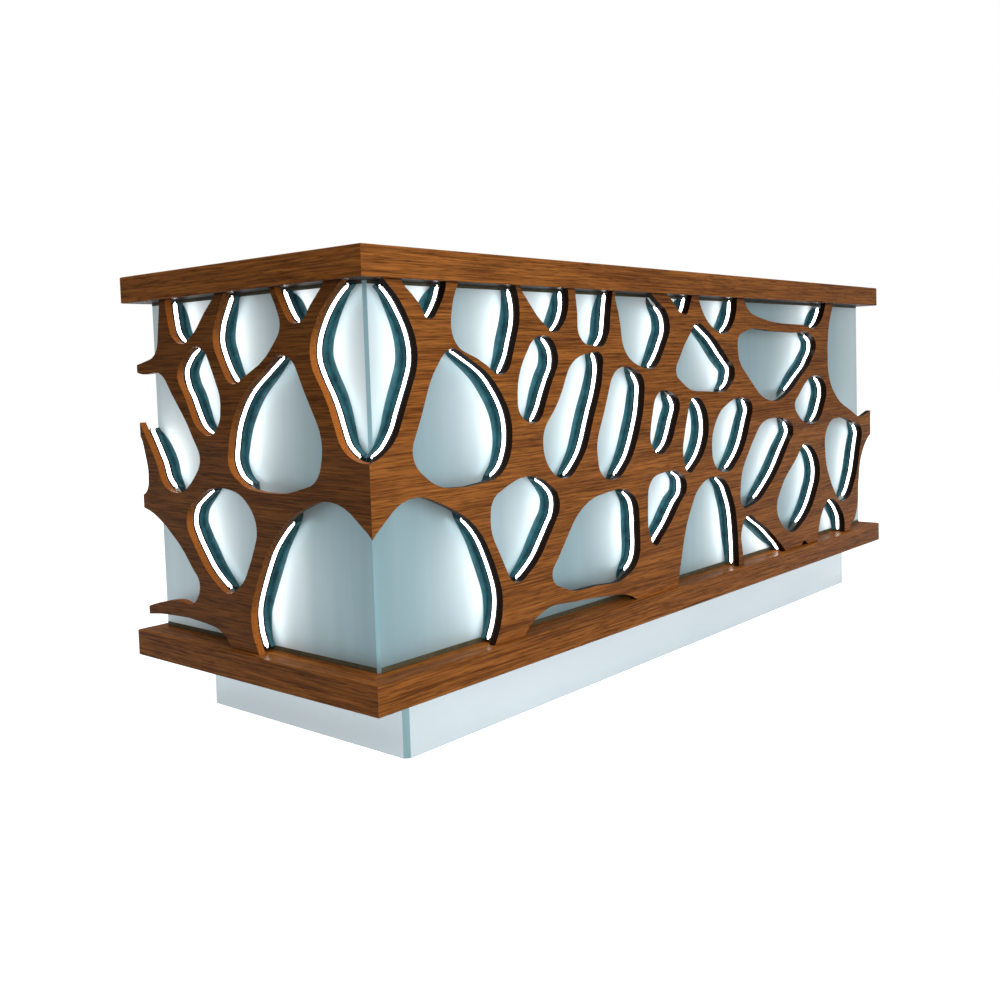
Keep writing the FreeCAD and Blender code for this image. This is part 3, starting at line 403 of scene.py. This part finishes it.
def white_laminate(finishes, sizes):
    """Laminate of the staff side; its grit is drawn coarse so that it shows."""
    return laminate("off-white laminate", finishes.white_board, finishes.white_board_drift, 1.2 * MM)


def moulded_plastic(finishes, sizes):
    """Moulded black polypropylene: a dull black with a fine spark-eroded grain."""
    return two_tone("moulded polypropylene", {"IOR": 1.49}, (1.2 * MM,) * 3,
                    (finishes.plastic, finishes.plastic_bright), (0.4, 0.6), 0.08 * MM, detail=2.0)


def plated_steel(finishes, sizes):
    """Zinc-plated pressed steel: a bright grey metal with faint spangle and rolling lines."""
    material, tree, shader, place = new_material("zinc-plated steel", {"Metallic": 1.0})
    tint = add(tree, "ShaderNodeMix", {"Factor": pattern(tree, place, (9 * MM,) * 3, detail=2.0),
                                       FROM_COLOUR: finishes.steel, TO_COLOUR: finishes.steel_spangle},
               data_type="RGBA")
    rolled = pattern(tree, place, (1.2 * MM, 120 * MM, 1.2 * MM), share=(0.26, 0.42), detail=2.0)
    feed(shader, {"Base Color": tint.outputs[MIXED_COLOUR], "Roughness": rolled})
    return material


def powder_coat(finishes, sizes):
    """Powder coat on folded steel: grey, with an orange-peel surface."""
    return two_tone("powder-coated steel", {"IOR": 1.5}, (2.2 * MM,) * 3,
                    (finishes.powder_coat, finishes.powder_coat_peel), (0.38, 0.52), 0.1 * MM, detail=2.0)


def anodised(finishes, sizes):
    """Anodised aluminium, brushed along its length: satin grey with fine hair lines."""
    return two_tone("satin anodised aluminium", {"Metallic": 1.0}, (60 * MM, 0.8 * MM, 0.8 * MM),
                    (finishes.aluminium, finishes.aluminium_hair), (0.24, 0.38), detail=2.0)


SLOT_FINISH = {
    "corner_glass": polished_edge,
    "plinth_glass": pale_glass,
    "grey_board": grey_laminate,
    "white_board": white_laminate,
    "black_plastic": moulded_plastic,
    "leg_steel": plated_steel,
    "grey_metal": powder_coat,
}


@functools.cache
def finish(maker):
    """The material that a function above makes, made once."""
    scene = bpy.context.scene
    return maker(scene.desk_finishes, scene.desk_sizes)


# Meshes

# Points nearer than this are one point
MERGE = 0.01 * MM


def linked_object(name, mesh, material):
    """A new object of one material at the origin."""
    mesh.materials.clear()
    mesh.materials.append(material)
    piece = bpy.data.objects.new(name, mesh)
    bpy.context.scene.collection.objects.link(piece)
    return piece


def surface_mesh(name, points, faces):
    """A mesh from arrays, with its doubles merged and its faces turned outwards."""
    mesh = bpy.data.meshes.new(name)
    mesh.from_pydata(points.tolist(), [], faces.tolist())
    work = bmesh.new()
    work.from_mesh(mesh)
    bmesh.ops.remove_doubles(work, verts=work.verts, dist=MERGE)
    bmesh.ops.recalc_face_normals(work, faces=work.faces)
    work.to_mesh(mesh)
    work.free()
    return mesh


def finish_node(node, material):
    """Give a CAD node's object a material."""
    shown = frame["nodes"][node]
    if not shown.material_slots:
        raise ValueError(node + " has no material slot")
    for place in shown.material_slots:
        place.material = material


def dressed(node, material, arris, sharp=math.radians(35)):
    """A merged copy of a CAD node with rounded edges and smooth curves, which stands for the node."""
    flat = math.radians(0.2)
    mesh = frame["nodes"][node].data.copy()
    mesh.name = node + "_looks"
    work = bmesh.new()
    work.from_mesh(mesh)
    bmesh.ops.remove_doubles(work, verts=work.verts, dist=MERGE)
    bmesh.ops.dissolve_limit(work, angle_limit=flat, verts=work.verts, edges=work.edges)
    work.to_mesh(mesh)
    work.free()
    mesh.shade_smooth()
    mesh.set_sharp_from_angle(angle=sharp)
    piece = linked_object(node + "_looks", mesh, material)
    rounding = piece.modifiers.new("arris", "BEVEL")
    rounding.width = arris
    rounding.segments = 2
    rounding.limit_method = "ANGLE"
    rounding.angle_limit = sharp
    rounding.harden_normals = True
    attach(piece, NODE_BODY[node])
    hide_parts(node)
    return piece


def node_graph(node):
    """Merged points of a CAD node, and the edges between them."""
    decimals = 6
    mesh = frame["nodes"][node].data
    points = np.empty(len(mesh.vertices) * 3)
    mesh.vertices.foreach_get("co", points)
    corners = np.empty(len(mesh.loops), int)
    mesh.loops.foreach_get("vertex_index", corners)
    merged, index = np.unique(np.round(points.reshape(-1, 3), decimals), axis=0, return_inverse=True)
    triangles = index.ravel()[corners].reshape(-1, 3)
    return merged, np.vstack([triangles[:, [0, 1]], triangles[:, [1, 2]], triangles[:, [2, 0]]])


def group_labels(count, edges):
    """A number for each connected group of points: every point takes the lowest number among its
    neighbours until nothing changes."""
    labels = np.arange(count)
    while True:
        lower = labels.copy()
        np.minimum.at(lower, edges[:, 0], labels[edges[:, 1]])
        np.minimum.at(lower, edges[:, 1], labels[edges[:, 0]])
        if np.array_equal(lower, labels):
            return labels
        labels = lower


def strip_lines(node, depth_axis):
    """Inner line of each strip of a node, on its face next to the board, and the way from it to the
    outer line. Points of one height are a pair, and the inner one is nearer to the near corner."""
    points, edges = node_graph(node)
    labels = group_labels(len(points), edges)
    shallow = points[:, depth_axis] < points[:, depth_axis].mean()
    along_axis = 1 - depth_axis
    for label in np.unique(labels):
        own = points[(labels == label) & shallow]
        pairs = own[np.argsort(own[:, 2])].reshape(-1, 2, 3)
        order = np.argsort(pairs[:, :, along_axis], axis=1)
        pairs = np.take_along_axis(pairs, order[:, :, None], axis=1)
        yield pairs[:, 0], (pairs[:, 1] - pairs[:, 0]).mean(axis=0)


def smooth_path(knots, step):
    """Points about a step apart on the Catmull-Rom curve through the knots: on each span the cubic whose
    slope at a knot is half the step between that knot's neighbours."""
    padded = np.vstack([2 * knots[0] - knots[1], knots, 2 * knots[-1] - knots[-2]])
    before, start, end, after = (padded[first:len(padded) - 3 + first, None, :] for first in range(4))
    count = math.ceil(np.linalg.norm(np.diff(knots, axis=0), axis=1).max() / step)
    t = (np.arange(count) / count)[None, :, None]
    curve = start + 0.5 * t * (end - before + t * (2 * before - 5 * start + 4 * end - after
                                                   + t * (3 * start - before - 3 * end + after)))
    return np.vstack([curve.reshape(-1, 3), knots[-1:]])


def run_on(path, distance, step):
    """Points that carry a path on past its end, round the circle of its last stretch: at distance d along
    a circle of curvature k, d sinc(k d) ahead and d (k d / 2) sinc(k d / 2)^2 to the side. They stop where
    the circle has turned too far."""
    stretch = 6
    most_turn = math.radians(14)
    least_curvature = 1e-9
    pieces = np.diff(path[-stretch - 2:], axis=0)
    headings = pieces / np.linalg.norm(pieces, axis=1, keepdims=True)
    ahead = headings[-1]
    bend = (headings[-1] - headings[0]) / np.linalg.norm(pieces[1:], axis=1).sum()
    bend -= ahead * (bend @ ahead)
    curvature = np.linalg.norm(bend) + least_curvature
    d = np.arange(step, min(distance, most_turn / curvature), step)[:, None]
    turned = curvature * d / np.pi
    forward = d * np.sinc(turned)
    sideways = d * (curvature * d / 2) * np.sinc(turned / 2) ** 2
    return path[-1] + forward * ahead + sideways * bend / curvature


def across_path(path, outwards, depth_axis):
    """Unit vectors across a path in its panel's plane, on the side of the given vector."""
    slope = np.gradient(path, axis=0)
    across = np.cross(slope / np.linalg.norm(slope, axis=1, keepdims=True), np.eye(3)[depth_axis])
    return across * np.sign((across * outwards).sum(axis=1).mean())


def bar_surface(path, outwards, across_span, depth_axis, depth_span, end_radius):
    """A bar carried along a path that lies in its panel's plane. Its section is a rounded rectangle: a
    point at angle a lies at sign(cos a)|cos a|^q across and sign(sin a)|sin a|^q deep. Near both ends the
    depth shrinks by a quarter circle, so the ends are round."""
    across = across_path(path, outwards, depth_axis)
    walked = np.concatenate([[0.0], np.cumsum(np.linalg.norm(np.diff(path, axis=0), axis=1))])
    inside = np.clip(1 - np.minimum(walked, walked[-1] - walked) / end_radius, 0.0, 1.0)
    half = (depth_span[1] - depth_span[0]) / 2 - end_radius * (1 - np.sqrt(1 - inside ** 2))
    corners = 16
    squareness = 0.3
    angle = (np.arange(corners) + 0.5) * 2 * np.pi / corners
    ring_across = np.sign(np.cos(angle)) * np.abs(np.cos(angle)) ** squareness
    ring_deep = np.sign(np.sin(angle)) * np.abs(np.sin(angle)) ** squareness
    low, high = (np.broadcast_to(side, len(path))[:, None] for side in across_span)
    offset = (low + high) / 2 + ring_across * (high - low) / 2
    grid = path[:, None, :] + offset[:, :, None] * across[:, None, :]
    grid[:, :, depth_axis] = (depth_span[0] + depth_span[1]) / 2 + ring_deep[None, :] * half[:, None]
    return grid


def pane_surface(low, high, depth_axis, step):
    """A flat pane as a profile carried along its length: up its face and down its back in equal steps."""
    along_axis = 1 - depth_axis
    along, up = (np.linspace(low[axis], high[axis], math.ceil((high[axis] - low[axis]) / step))
                 for axis in (along_axis, 2))
    grid = np.empty((len(along), 2 * len(up), 3))
    grid[:, :, along_axis] = along[:, None]
    grid[:, :, 2] = np.concatenate([up, up[::-1]])
    grid[:, :, depth_axis] = np.repeat([low[depth_axis], high[depth_axis]], len(up))
    return grid


def strip_glow(points, lines, depth_axis, spread, step):
    """Painted light of the strips on a pane, to be shown as a glow. A length ds of strip at q, which faces
    the way f, gives a point p the share |f.a|^3 sin(pi s)^0.5 ds ((p - q).f) / (|p - q|^2 + h^2)^3 where
    p lies in front of it, a is the level direction, s is how far up its strip q lies and h is the spread.
    Each strip's share is 1 where it is best."""
    flat = np.array(points)
    flat[:, depth_axis] = 0.0
    total = np.zeros(len(flat))
    for inner, outwards in lines:
        path = smooth_path(inner, step)
        facing = -across_path(path, outwards, depth_axis)
        path[:, depth_axis] = 0.0
        gap = flat[:, None, :] - path[None, :, :]
        ahead = np.maximum((gap * facing[None, :, :]).sum(axis=2), 0.0)
        lengths = np.linalg.norm(np.gradient(path, axis=0), axis=1)
        share = np.cumsum(lengths) / lengths.sum()
        power = lengths * np.abs(facing[:, 1 - depth_axis]) ** 3 * np.sin(np.pi * share).clip(0.0) ** 0.5
        own = (power * ahead / ((gap ** 2).sum(axis=2) + spread ** 2) ** 3).sum(axis=1)
        total += own / own.max()
    return total


def tube_faces(rows, columns):
    """Quads between neighbouring rings, and a cap at each end made of quads between opposite points."""
    row, column = np.meshgrid(np.arange(rows - 1), np.arange(columns), indexing="ij")
    after = (column + 1) % columns
    sides = np.stack([row * columns + column, row * columns + after, (row + 1) * columns + after,
                      (row + 1) * columns + column], axis=-1).reshape(-1, 4)
    near = np.arange(columns // 2 - 1)
    cap = np.stack([near, near + 1, columns - 2 - near, columns - 1 - near], axis=-1)
    return np.vstack([sides, cap[:, ::-1], cap + (rows - 1) * columns])


def stacked(grids):
    """Points and faces of several tubes in one pair of arrays."""
    sizes = [grid.shape[0] * grid.shape[1] for grid in grids]
    starts = np.cumsum([0] + sizes[:-1])
    faces = [tube_faces(*grid.shape[:2]) + start for grid, start in zip(grids, starts)]
    return np.vstack([grid.reshape(-1, 3) for grid in grids]), np.vstack(faces)


def screw_surface(place, outwards, radius):
    """Pan head with a cross recess. At radius r and angle a the head rises by h(1 - (r/R)^2)^0.5, and by
    less where |sin 2a| r is under the width of the cross. The first ring is the rim, on the sheet."""
    rings, spokes = 9, 32
    dome, cross_width, cross_length, cross_floor = (share * radius for share in (0.55, 0.16, 0.7, 0.15))
    r = np.linspace(1.0, 0.0, rings)[:, None] * radius
    a = (np.arange(spokes) * 2 * np.pi / spokes)[None, :]
    rise = dome * np.sqrt(1 - (r / radius) ** 2) + 0 * a
    in_cross = (np.abs(np.sin(2 * a)) * r < cross_width) & (r < cross_length)
    rise = np.where(in_cross, cross_floor, rise)
    w = np.asarray(outwards, float)
    u = np.roll(w, 1)
    head = np.stack([r * np.cos(a), r * np.sin(a), rise], axis=-1)
    return np.asarray(place) + head @ np.stack([u, np.cross(w, u), w])


def face_normals(mesh):
    """The faces' normals, one row each."""
    normals = np.empty(len(mesh.polygons) * 3)
    mesh.polygons.foreach_get("normal", normals)
    return normals.reshape(-1, 3)


def paint_shading_on_faces(mesh, marked):
    """Give the marked faces a painted tone of light or shade."""
    mesh.attributes.new(SHADING_ATTRIBUTE, "FLOAT", "FACE").data.foreach_set("value", marked.astype(float))


# Pieces

# Strips, glass and the axis across each decorated wall
WALLS = (("light_strips_front", "glass_front", 1), ("light_strips_side", "glass_side", 0))


class DESK_OT_slabs(bpy.types.Operator):
    """Finish the counter top, with painted shade underneath, and the base slab"""
    bl_idname = "desk.slabs"
    bl_label = "Slabs"

    def execute(self, context):
        # The counter top's faces that look down get painted shade
        downwards = -0.9
        for node in ("counter_top_front", "counter_top_returns"):
            mesh = frame["nodes"][node].data
            paint_shading_on_faces(mesh, face_normals(mesh)[:, 2] < downwards)
        for slab in ("counter_top", "base"):
            finish_node(slab + "_front", finish(walnut_along_front))
            finish_node(slab + "_returns", finish(walnut_along_side))
        return {"FINISHED"}


class DESK_OT_lattice(bpy.types.Operator):
    """Make the two lattice panels, with painted shade on the front's cut edges and painted light on the
    side's
    """
    bl_idname = "desk.lattice"
    bl_label = "Lattice panels"

    def execute(self, context):
        arris = context.scene.desk_sizes.panel_arris
        front = dressed("lattice_front", finish(walnut_along_front), arris).data
        side = dressed("lattice_side", finish(walnut_in_painted_shade), arris).data
        # A cut edge faces along its panel. The front's cut edges get painted shade; the side's get painted
        # light, which fades out as an edge turns to face down
        most_across, fade = 0.5, 0.6
        paint_shading_on_faces(front, np.abs(face_normals(front)[:, 1]) < most_across)
        across, upwards = face_normals(side)[:, 0], face_normals(side)[:, 2]
        paint_shading_on_faces(side, (np.abs(across) < most_across) * np.clip(1 + upwards / fade, 0.0, 1.0))
        return {"FINISHED"}


class DESK_OT_light_strips(bpy.types.Operator):
    """Make the light strips, each a diffuser in a black channel, and the dark seals of strips and glass,
    which paint the shade beside the strips and along the glass
    """
    bl_idname = "desk.light_strips"
    bl_label = "Light strips"

    def execute(self, context):
        sizes = context.scene.desk_sizes
        for node, pane, depth_axis in WALLS:
            low, high = (corner[depth_axis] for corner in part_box(node))
            lit = (low + sizes.channel_lip, high - sizes.channel_lip)
            diffusers, channels, seals = [], [], []
            for inner, outwards in strip_lines(node, depth_axis):
                path = smooth_path(inner, sizes.strip_step)
                diffusers.append(bar_surface(path, outwards, (0.0, sizes.diffuser_depth), depth_axis, lit,
                                             sizes.strip_end))
                channels.append(bar_surface(path, outwards, (sizes.diffuser_proud, sizes.strip_width),
                                            depth_axis, (low, high), sizes.strip_end))
                seals += self.strip_shade_seal(path, outwards, pane, depth_axis, high, sizes)
            frames = list(self.pane_shade_seals(pane, depth_axis, sizes))
            strip = self.make_piece(node + "_looks", diffusers, node, NODE_SLOT[node], finish(lit_opal))
            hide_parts(node)
            self.make_piece(node + "_channels", channels, node, "black_plastic", finish(moulded_plastic))
            self.make_piece(node + "_shade_seals", seals, node, "black_plastic", finish(strip_shade_rubber))
            self.make_piece(pane + "_shade_seals", frames, node, "black_plastic", finish(pane_shade_rubber))
        return {"FINISHED"}

    def strip_shade_seal(self, path, outwards, pane, depth_axis, back, sizes):
        """A wall from a strip's back to the glass, and a foot on the glass: a dark sheet that paints the
        band of shade beside the strip. The foot's inner side lies at t(1 - w) - f w across its path, where
        w = sin(pi s)^0.5, s is how far along the path it is, t is the tuck and f is the foot."""
        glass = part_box(pane)[0][depth_axis]
        thin = sizes.seal_sheet
        blunt = 0.4 * thin
        wall = self.upright_part(path, outwards, depth_axis)
        foot = self.upright_part(self.foot_path(path, pane, sizes), outwards, depth_axis)
        swell = np.sin(np.pi * np.linspace(0.0, 1.0, len(foot))).clip(0.0) ** 0.5
        inner = sizes.seal_tuck * (1 - swell) - sizes.seal_foot * swell
        outer = 1.5 * sizes.seal_tuck
        face = glass - sizes.seal_air
        return [bar_surface(wall, outwards, (thin, 3 * thin), depth_axis, (back, glass - thin), thin),
                bar_surface(foot, outwards, (inner, outer), depth_axis, (face - thin, face), blunt)]

    def upright_part(self, path, outwards, depth_axis):
        """A path without the ends that run level, which get no painted shade."""
        least = 0.45
        facing = across_path(path, outwards, depth_axis)[:, 1 - depth_axis]
        upright = np.flatnonzero(facing * np.sign(facing.sum()) > least)
        return path[upright[0]:upright[-1] + 1]

    def foot_path(self, path, pane, sizes):
        """A strip's path, run on at both ends as far as the pane's face reaches."""
        low, high = (np.array(corner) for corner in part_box(pane))
        no_bound = -1.0
        margin = np.where(high - low > sizes.seal_foot, sizes.seal_foot, no_bound)
        ends = []
        for way in (path[::-1], path):
            run = run_on(way, sizes.seal_run, sizes.strip_step)
            inside = ((run > low + margin) & (run < high - margin)).all(axis=1)
            ends.append(run[np.cumprod(inside).astype(bool)])
        return np.vstack([ends[0][::-1], path, ends[1]])

    def pane_shade_seals(self, pane, depth_axis, sizes):
        """Flat dark seals along the foot and the top of a pane, which paint the shade there."""
        low, high = (np.array(corner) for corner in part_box(pane))
        depth_span = (low[depth_axis] - sizes.seal_sheet, low[depth_axis] - sizes.seal_air)
        blunt = 0.3 * sizes.seal_sheet
        along = np.eye(3)[1 - depth_axis]
        for height, upwards, tall in ((low[2], 1, sizes.seal_low), (high[2], -1, sizes.seal_high)):
            line = np.stack([low * along, high * along]) + (0, 0, height)
            yield bar_surface(line, (0, 0, upwards), (0.0, tall), depth_axis, depth_span, blunt)

    def make_piece(self, name, grids, node, slot, material):
        """One piece of several bars, on the body of a node."""
        sharp = math.radians(50)
        mesh = surface_mesh(name, *stacked(grids))
        mesh.shade_smooth()
        mesh.set_sharp_from_angle(angle=sharp)
        piece = linked_object(name, mesh, material)
        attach(piece, NODE_BODY[node])
        return piece


class DESK_OT_glass(bpy.types.Operator):
    """Make the walls' glass, with the strips' light painted on it as a glow, and finish the posts and the
    plinth's glass
    """
    bl_idname = "desk.glass"
    bl_label = "Glass"

    def execute(self, context):
        sizes, stage = context.scene.desk_sizes, context.scene.desk_stage
        for strips, pane, depth_axis in WALLS:
            grid = pane_surface(*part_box(pane), depth_axis, sizes.pane_step)
            faces = tube_faces(*grid.shape[:2])[:, ::-1]
            mesh = bpy.data.meshes.new(pane + "_looks")
            mesh.from_pydata(grid.reshape(-1, 3).tolist(), [], faces.tolist())
            face = grid[:, :grid.shape[1] // 2]
            glow = np.zeros(grid.shape[:2])
            lines = list(strip_lines(strips, depth_axis))
            bright, faint = (strip_glow(face.reshape(-1, 3), lines, depth_axis, spread, sizes.glow_step)
                             for spread in (sizes.glow_spread, sizes.glow_far))
            # Painted glow near the free end of the glass
            from_end = (grid[-1, 0] - face)[:, :, 1 - depth_axis]
            end = stage.end_share * np.exp(-(from_end / sizes.glow_end) ** 2)
            from_strips = stage.near_share * bright + stage.far_share * faint
            glow[:, :face.shape[1]] = from_strips.reshape(face.shape[:2]) + end
            mesh.attributes.new(GLOW, "FLOAT", "POINT").data.foreach_set("value", glow.ravel())
            piece = linked_object(pane + "_looks", mesh, finish(silvered_glass))
            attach(piece, NODE_BODY[pane])
            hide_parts(pane)
        for node, slot in NODE_SLOT.items():
            if slot in ("corner_glass", "plinth_glass"):
                finish_node(node, finish(SLOT_FINISH[slot]))
        return {"FINISHED"}


class DESK_OT_carcass(bpy.types.Operator):
    """Finish the boards, legs and glides that carry the desk"""
    bl_idname = "desk.carcass"
    bl_label = "Carcass"

    def execute(self, context):
        finish_node("end_panel_right", finish(walnut_along_side))
        finish_node("return_ends", finish(walnut_along_front))
        for node, slot in NODE_SLOT.items():
            if slot in ("grey_board", "white_board", "black_plastic", "leg_steel", "grey_metal"):
                finish_node(node, finish(SLOT_FINISH[slot]))
        return {"FINISHED"}


class DESK_OT_fronts(bpy.types.Operator):
    """Make the worktop, the drawer fronts, the door and the handles"""
    bl_idname = "desk.fronts"
    bl_label = "Worktop, fronts and handles"

    def execute(self, context):
        sizes = context.scene.desk_sizes
        for node in ("worktop", "drawer_front_top", "drawer_front_middle", "drawer_front_bottom",
                     "cupboard_door"):
            dressed(node, finish(walnut_along_front), sizes.board_arris)
        for node, slot in NODE_SLOT.items():
            if slot == "handle_metal":
                dressed(node, finish(anodised), sizes.handle_arris)
        return {"FINISHED"}


class DESK_OT_fittings(bpy.types.Operator):
    """Make the grommets, the hinges and the screws of hinges, driver and cable tray"""
    bl_idname = "desk.fittings"
    bl_label = "Fittings and screws"

    def execute(self, context):
        sizes = context.scene.desk_sizes
        for node in ("cable_grommets", "hinge_leaves_cabinet", "hinge_leaves_door", "hinge_pins"):
            dressed(node, finish(SLOT_FINISH[NODE_SLOT[node]]), sizes.fitting_arris)
        self.make_screws("hinge_screws", "hinge_leaves_door", self.hinge_places(sizes), (0, 1, 0), sizes)
        self.make_screws("driver_screws", "strip_driver", self.driver_places(sizes), (0, 1, 0), sizes)
        self.make_screws("tray_screws", "cable_tray", self.tray_places(sizes), (0, 0, -1), sizes)
        return {"FINISHED"}

    def hinge_places(self, sizes):
        """Two screws in each door leaf, one leaf at each end of the group's height."""
        low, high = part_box("hinge_leaves_door")
        leaf = 4 * sizes.screw_margin
        face = low[1] + sizes.hinge_sheet
        heights = (low[2] + leaf / 2, high[2] - leaf / 2)
        return [(high[0] - sizes.screw_margin * k, face, z) for z in heights for k in (1, 3)]

    def driver_places(self, sizes):
        """One screw in each ear of the driver."""
        low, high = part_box("strip_driver")
        height = (low[2] + high[2]) / 2
        return [(x, low[1] + sizes.driver_ear, height)
                for x in (low[0] + sizes.screw_margin, high[0] - sizes.screw_margin)]

    def tray_places(self, sizes):
        """Screws up through both flanges of the tray, near its ends and in the middle."""
        low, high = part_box("cable_tray")
        margin = sizes.screw_margin
        along = (low[0] + 4 * margin, 0.0, high[0] - 4 * margin)
        return [(x, y, high[2] - sizes.hinge_sheet) for x in along
                for y in (low[1] + margin, high[1] - margin)]

    def make_screws(self, name, node, places, outwards, sizes):
        """One piece of several screws, on the body of a node."""
        sharp = math.radians(40)
        heads = [screw_surface(place, outwards, sizes.screw_radius) for place in places]
        mesh = surface_mesh(name, *stacked(heads))
        mesh.shade_smooth()
        mesh.set_sharp_from_angle(angle=sharp)
        piece = linked_object(name, mesh, finish(plated_steel))
        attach(piece, NODE_BODY[node])


class DESK_OT_stage(bpy.types.Operator):
    """Make the floor, the lights and the camera"""
    bl_idname = "desk.stage"
    bl_label = "Floor, light and camera"

    def execute(self, context):
        stage = context.scene.desk_stage
        self.make_floor(stage)
        self.make_sky(context.scene, stage)
        self.make_lights(context.scene, stage)
        self.make_camera(context.scene, stage)
        context.scene.view_settings.view_transform = "Standard"
        return {"FINISHED"}

    def make_floor(self, stage):
        """A disc whose rings lie at radius R (i/n)^2. Its own glow doesn't light the desk from below."""
        rings, spokes = 24, 96
        radius = stage.floor_radius * (np.linspace(1.0, 0.0, rings) ** 2)[:, None]
        angle = (np.arange(spokes) * 2 * np.pi / spokes)[None, :]
        disc = np.stack([radius * np.cos(angle), radius * np.sin(angle), 0 * radius * angle], axis=-1)
        quads = tube_faces(rings, spokes)[:(rings - 1) * spokes]
        mesh = bpy.data.meshes.new("floor")
        mesh.from_pydata(disc.reshape(-1, 3).tolist(), [], quads.tolist())
        matt = {"Roughness": 0.8, "Specular IOR Level": 0.0, "Emission Color": stage.floor_colour,
                "Emission Strength": stage.floor_glow}
        tones = (stage.floor_colour, stage.floor_drift)
        floor = linked_object("floor", mesh, two_tone("matt pale floor", matt, (900 * MM,) * 3, tones))
        floor.visible_diffuse = False

    def make_sky(self, scene, stage):
        """White to the camera; as light, brighter on the visitor side and dark below the floor."""
        world = bpy.data.worlds.new("studio")
        scene.world = world
        world.use_nodes = True
        tree = world.node_tree
        tree.nodes.clear()
        direction = add(tree, "ShaderNodeTexCoord").outputs["Generated"]
        white = (1, 1, 1, 1)
        towards_visitor = (0.1, -0.99, 0.1)
        behind, ahead, under, over = -0.1, 0.9, -0.12, 0.05
        facing = add(tree, "ShaderNodeVectorMath", {0: direction, 1: towards_visitor},
                     operation="DOT_PRODUCT").outputs["Value"]
        around = add(tree, "ShaderNodeMapRange", {
            "Value": facing, "From Min": behind, "From Max": ahead, "To Min": stage.sky_rest,
            "To Max": stage.sky_front}).outputs["Result"]
        height = add(tree, "ShaderNodeSeparateXYZ", {"Vector": direction}).outputs["Z"]
        above = add(tree, "ShaderNodeMapRange", {
            "Value": height, "From Min": under, "From Max": over, "To Min": stage.sky_below,
            "To Max": around}).outputs["Result"]
        path = add(tree, "ShaderNodeLightPath")
        lighting = add(tree, "ShaderNodeBackground", {"Color": white, "Strength": above})
        seen = add(tree, "ShaderNodeBackground", {"Color": white, "Strength": 1.0})
        both = add(tree, "ShaderNodeMixShader", {0: path.outputs["Is Camera Ray"], 1: lighting.outputs[0],
                                                 2: seen.outputs[0]})
        add(tree, "ShaderNodeOutputWorld", {"Surface": both.outputs[0]})

    def make_lights(self, scene, stage):
        """A softbox in front of the long side, which nothing mirrors, and a wide soft light from above."""
        key = bpy.data.lights.new("key softbox", "AREA")
        key.shape = "RECTANGLE"
        key.size = stage.key_wide
        key.size_y = stage.key_tall
        key.energy = stage.key_power
        softbox = bpy.data.objects.new("key softbox", key)
        softbox.location = stage.key_place
        softbox.rotation_euler = stage.key_turn
        softbox.visible_glossy = False
        scene.collection.objects.link(softbox)
        above = bpy.data.lights.new("light from above", "SUN")
        above.energy = stage.sun_power
        above.angle = stage.sun_spread
        scene.collection.objects.link(bpy.data.objects.new("light from above", above))

    def make_camera(self, scene, stage):
        """A camera at the photograph's viewing angle."""
        camera = bpy.data.cameras.new("camera")
        camera.sensor_width = 36.0
        camera.lens = stage.lens
        camera.shift_x = stage.shift_x
        camera.shift_y = stage.shift_y
        camera.clip_end = 100.0
        view = bpy.data.objects.new("camera", camera)
        view.location = stage.camera_place
        view.rotation_euler = stage.camera_turn
        scene.collection.objects.link(view)
        scene.camera = view


# Registration

SETTINGS = {"desk_finishes": DeskFinishes, "desk_sizes": DeskSizes, "desk_stage": DeskStage}
OPERATORS = (DESK_OT_slabs, DESK_OT_lattice, DESK_OT_light_strips, DESK_OT_glass, DESK_OT_carcass,
             DESK_OT_fronts, DESK_OT_fittings, DESK_OT_stage)


class DESK_PT_panel(bpy.types.Panel):
    """Settings and pieces of the reception desk"""
    bl_label = "Reception desk"
    bl_idname = "DESK_PT_panel"
    bl_space_type = "VIEW_3D"
    bl_region_type = "UI"
    bl_category = "Desk"

    def draw(self, context):
        for operator in OPERATORS:
            self.layout.operator(operator.bl_idname)
        for name in SETTINGS:
            settings = getattr(context.scene, name)
            box = self.layout.box()
            for key in settings.bl_rna.properties.keys():
                if key not in ("rna_type", "name"):
                    box.prop(settings, key)


def register():
    for name, kind in SETTINGS.items():
        bpy.utils.register_class(kind)
        setattr(bpy.types.Scene, name, PointerProperty(type=kind))
    for kind in OPERATORS + (DESK_PT_panel,):
        bpy.utils.register_class(kind)


def unregister():
    for kind in (DESK_PT_panel,) + OPERATORS[::-1]:
        bpy.utils.unregister_class(kind)
    for name, kind in SETTINGS.items():
        delattr(bpy.types.Scene, name)
        bpy.utils.unregister_class(kind)


def main():
    register()
    for operator in OPERATORS:
        group, name = operator.bl_idname.split(".")
        getattr(getattr(bpy.ops, group), name)()


if __name__ == "__main__":
    main()
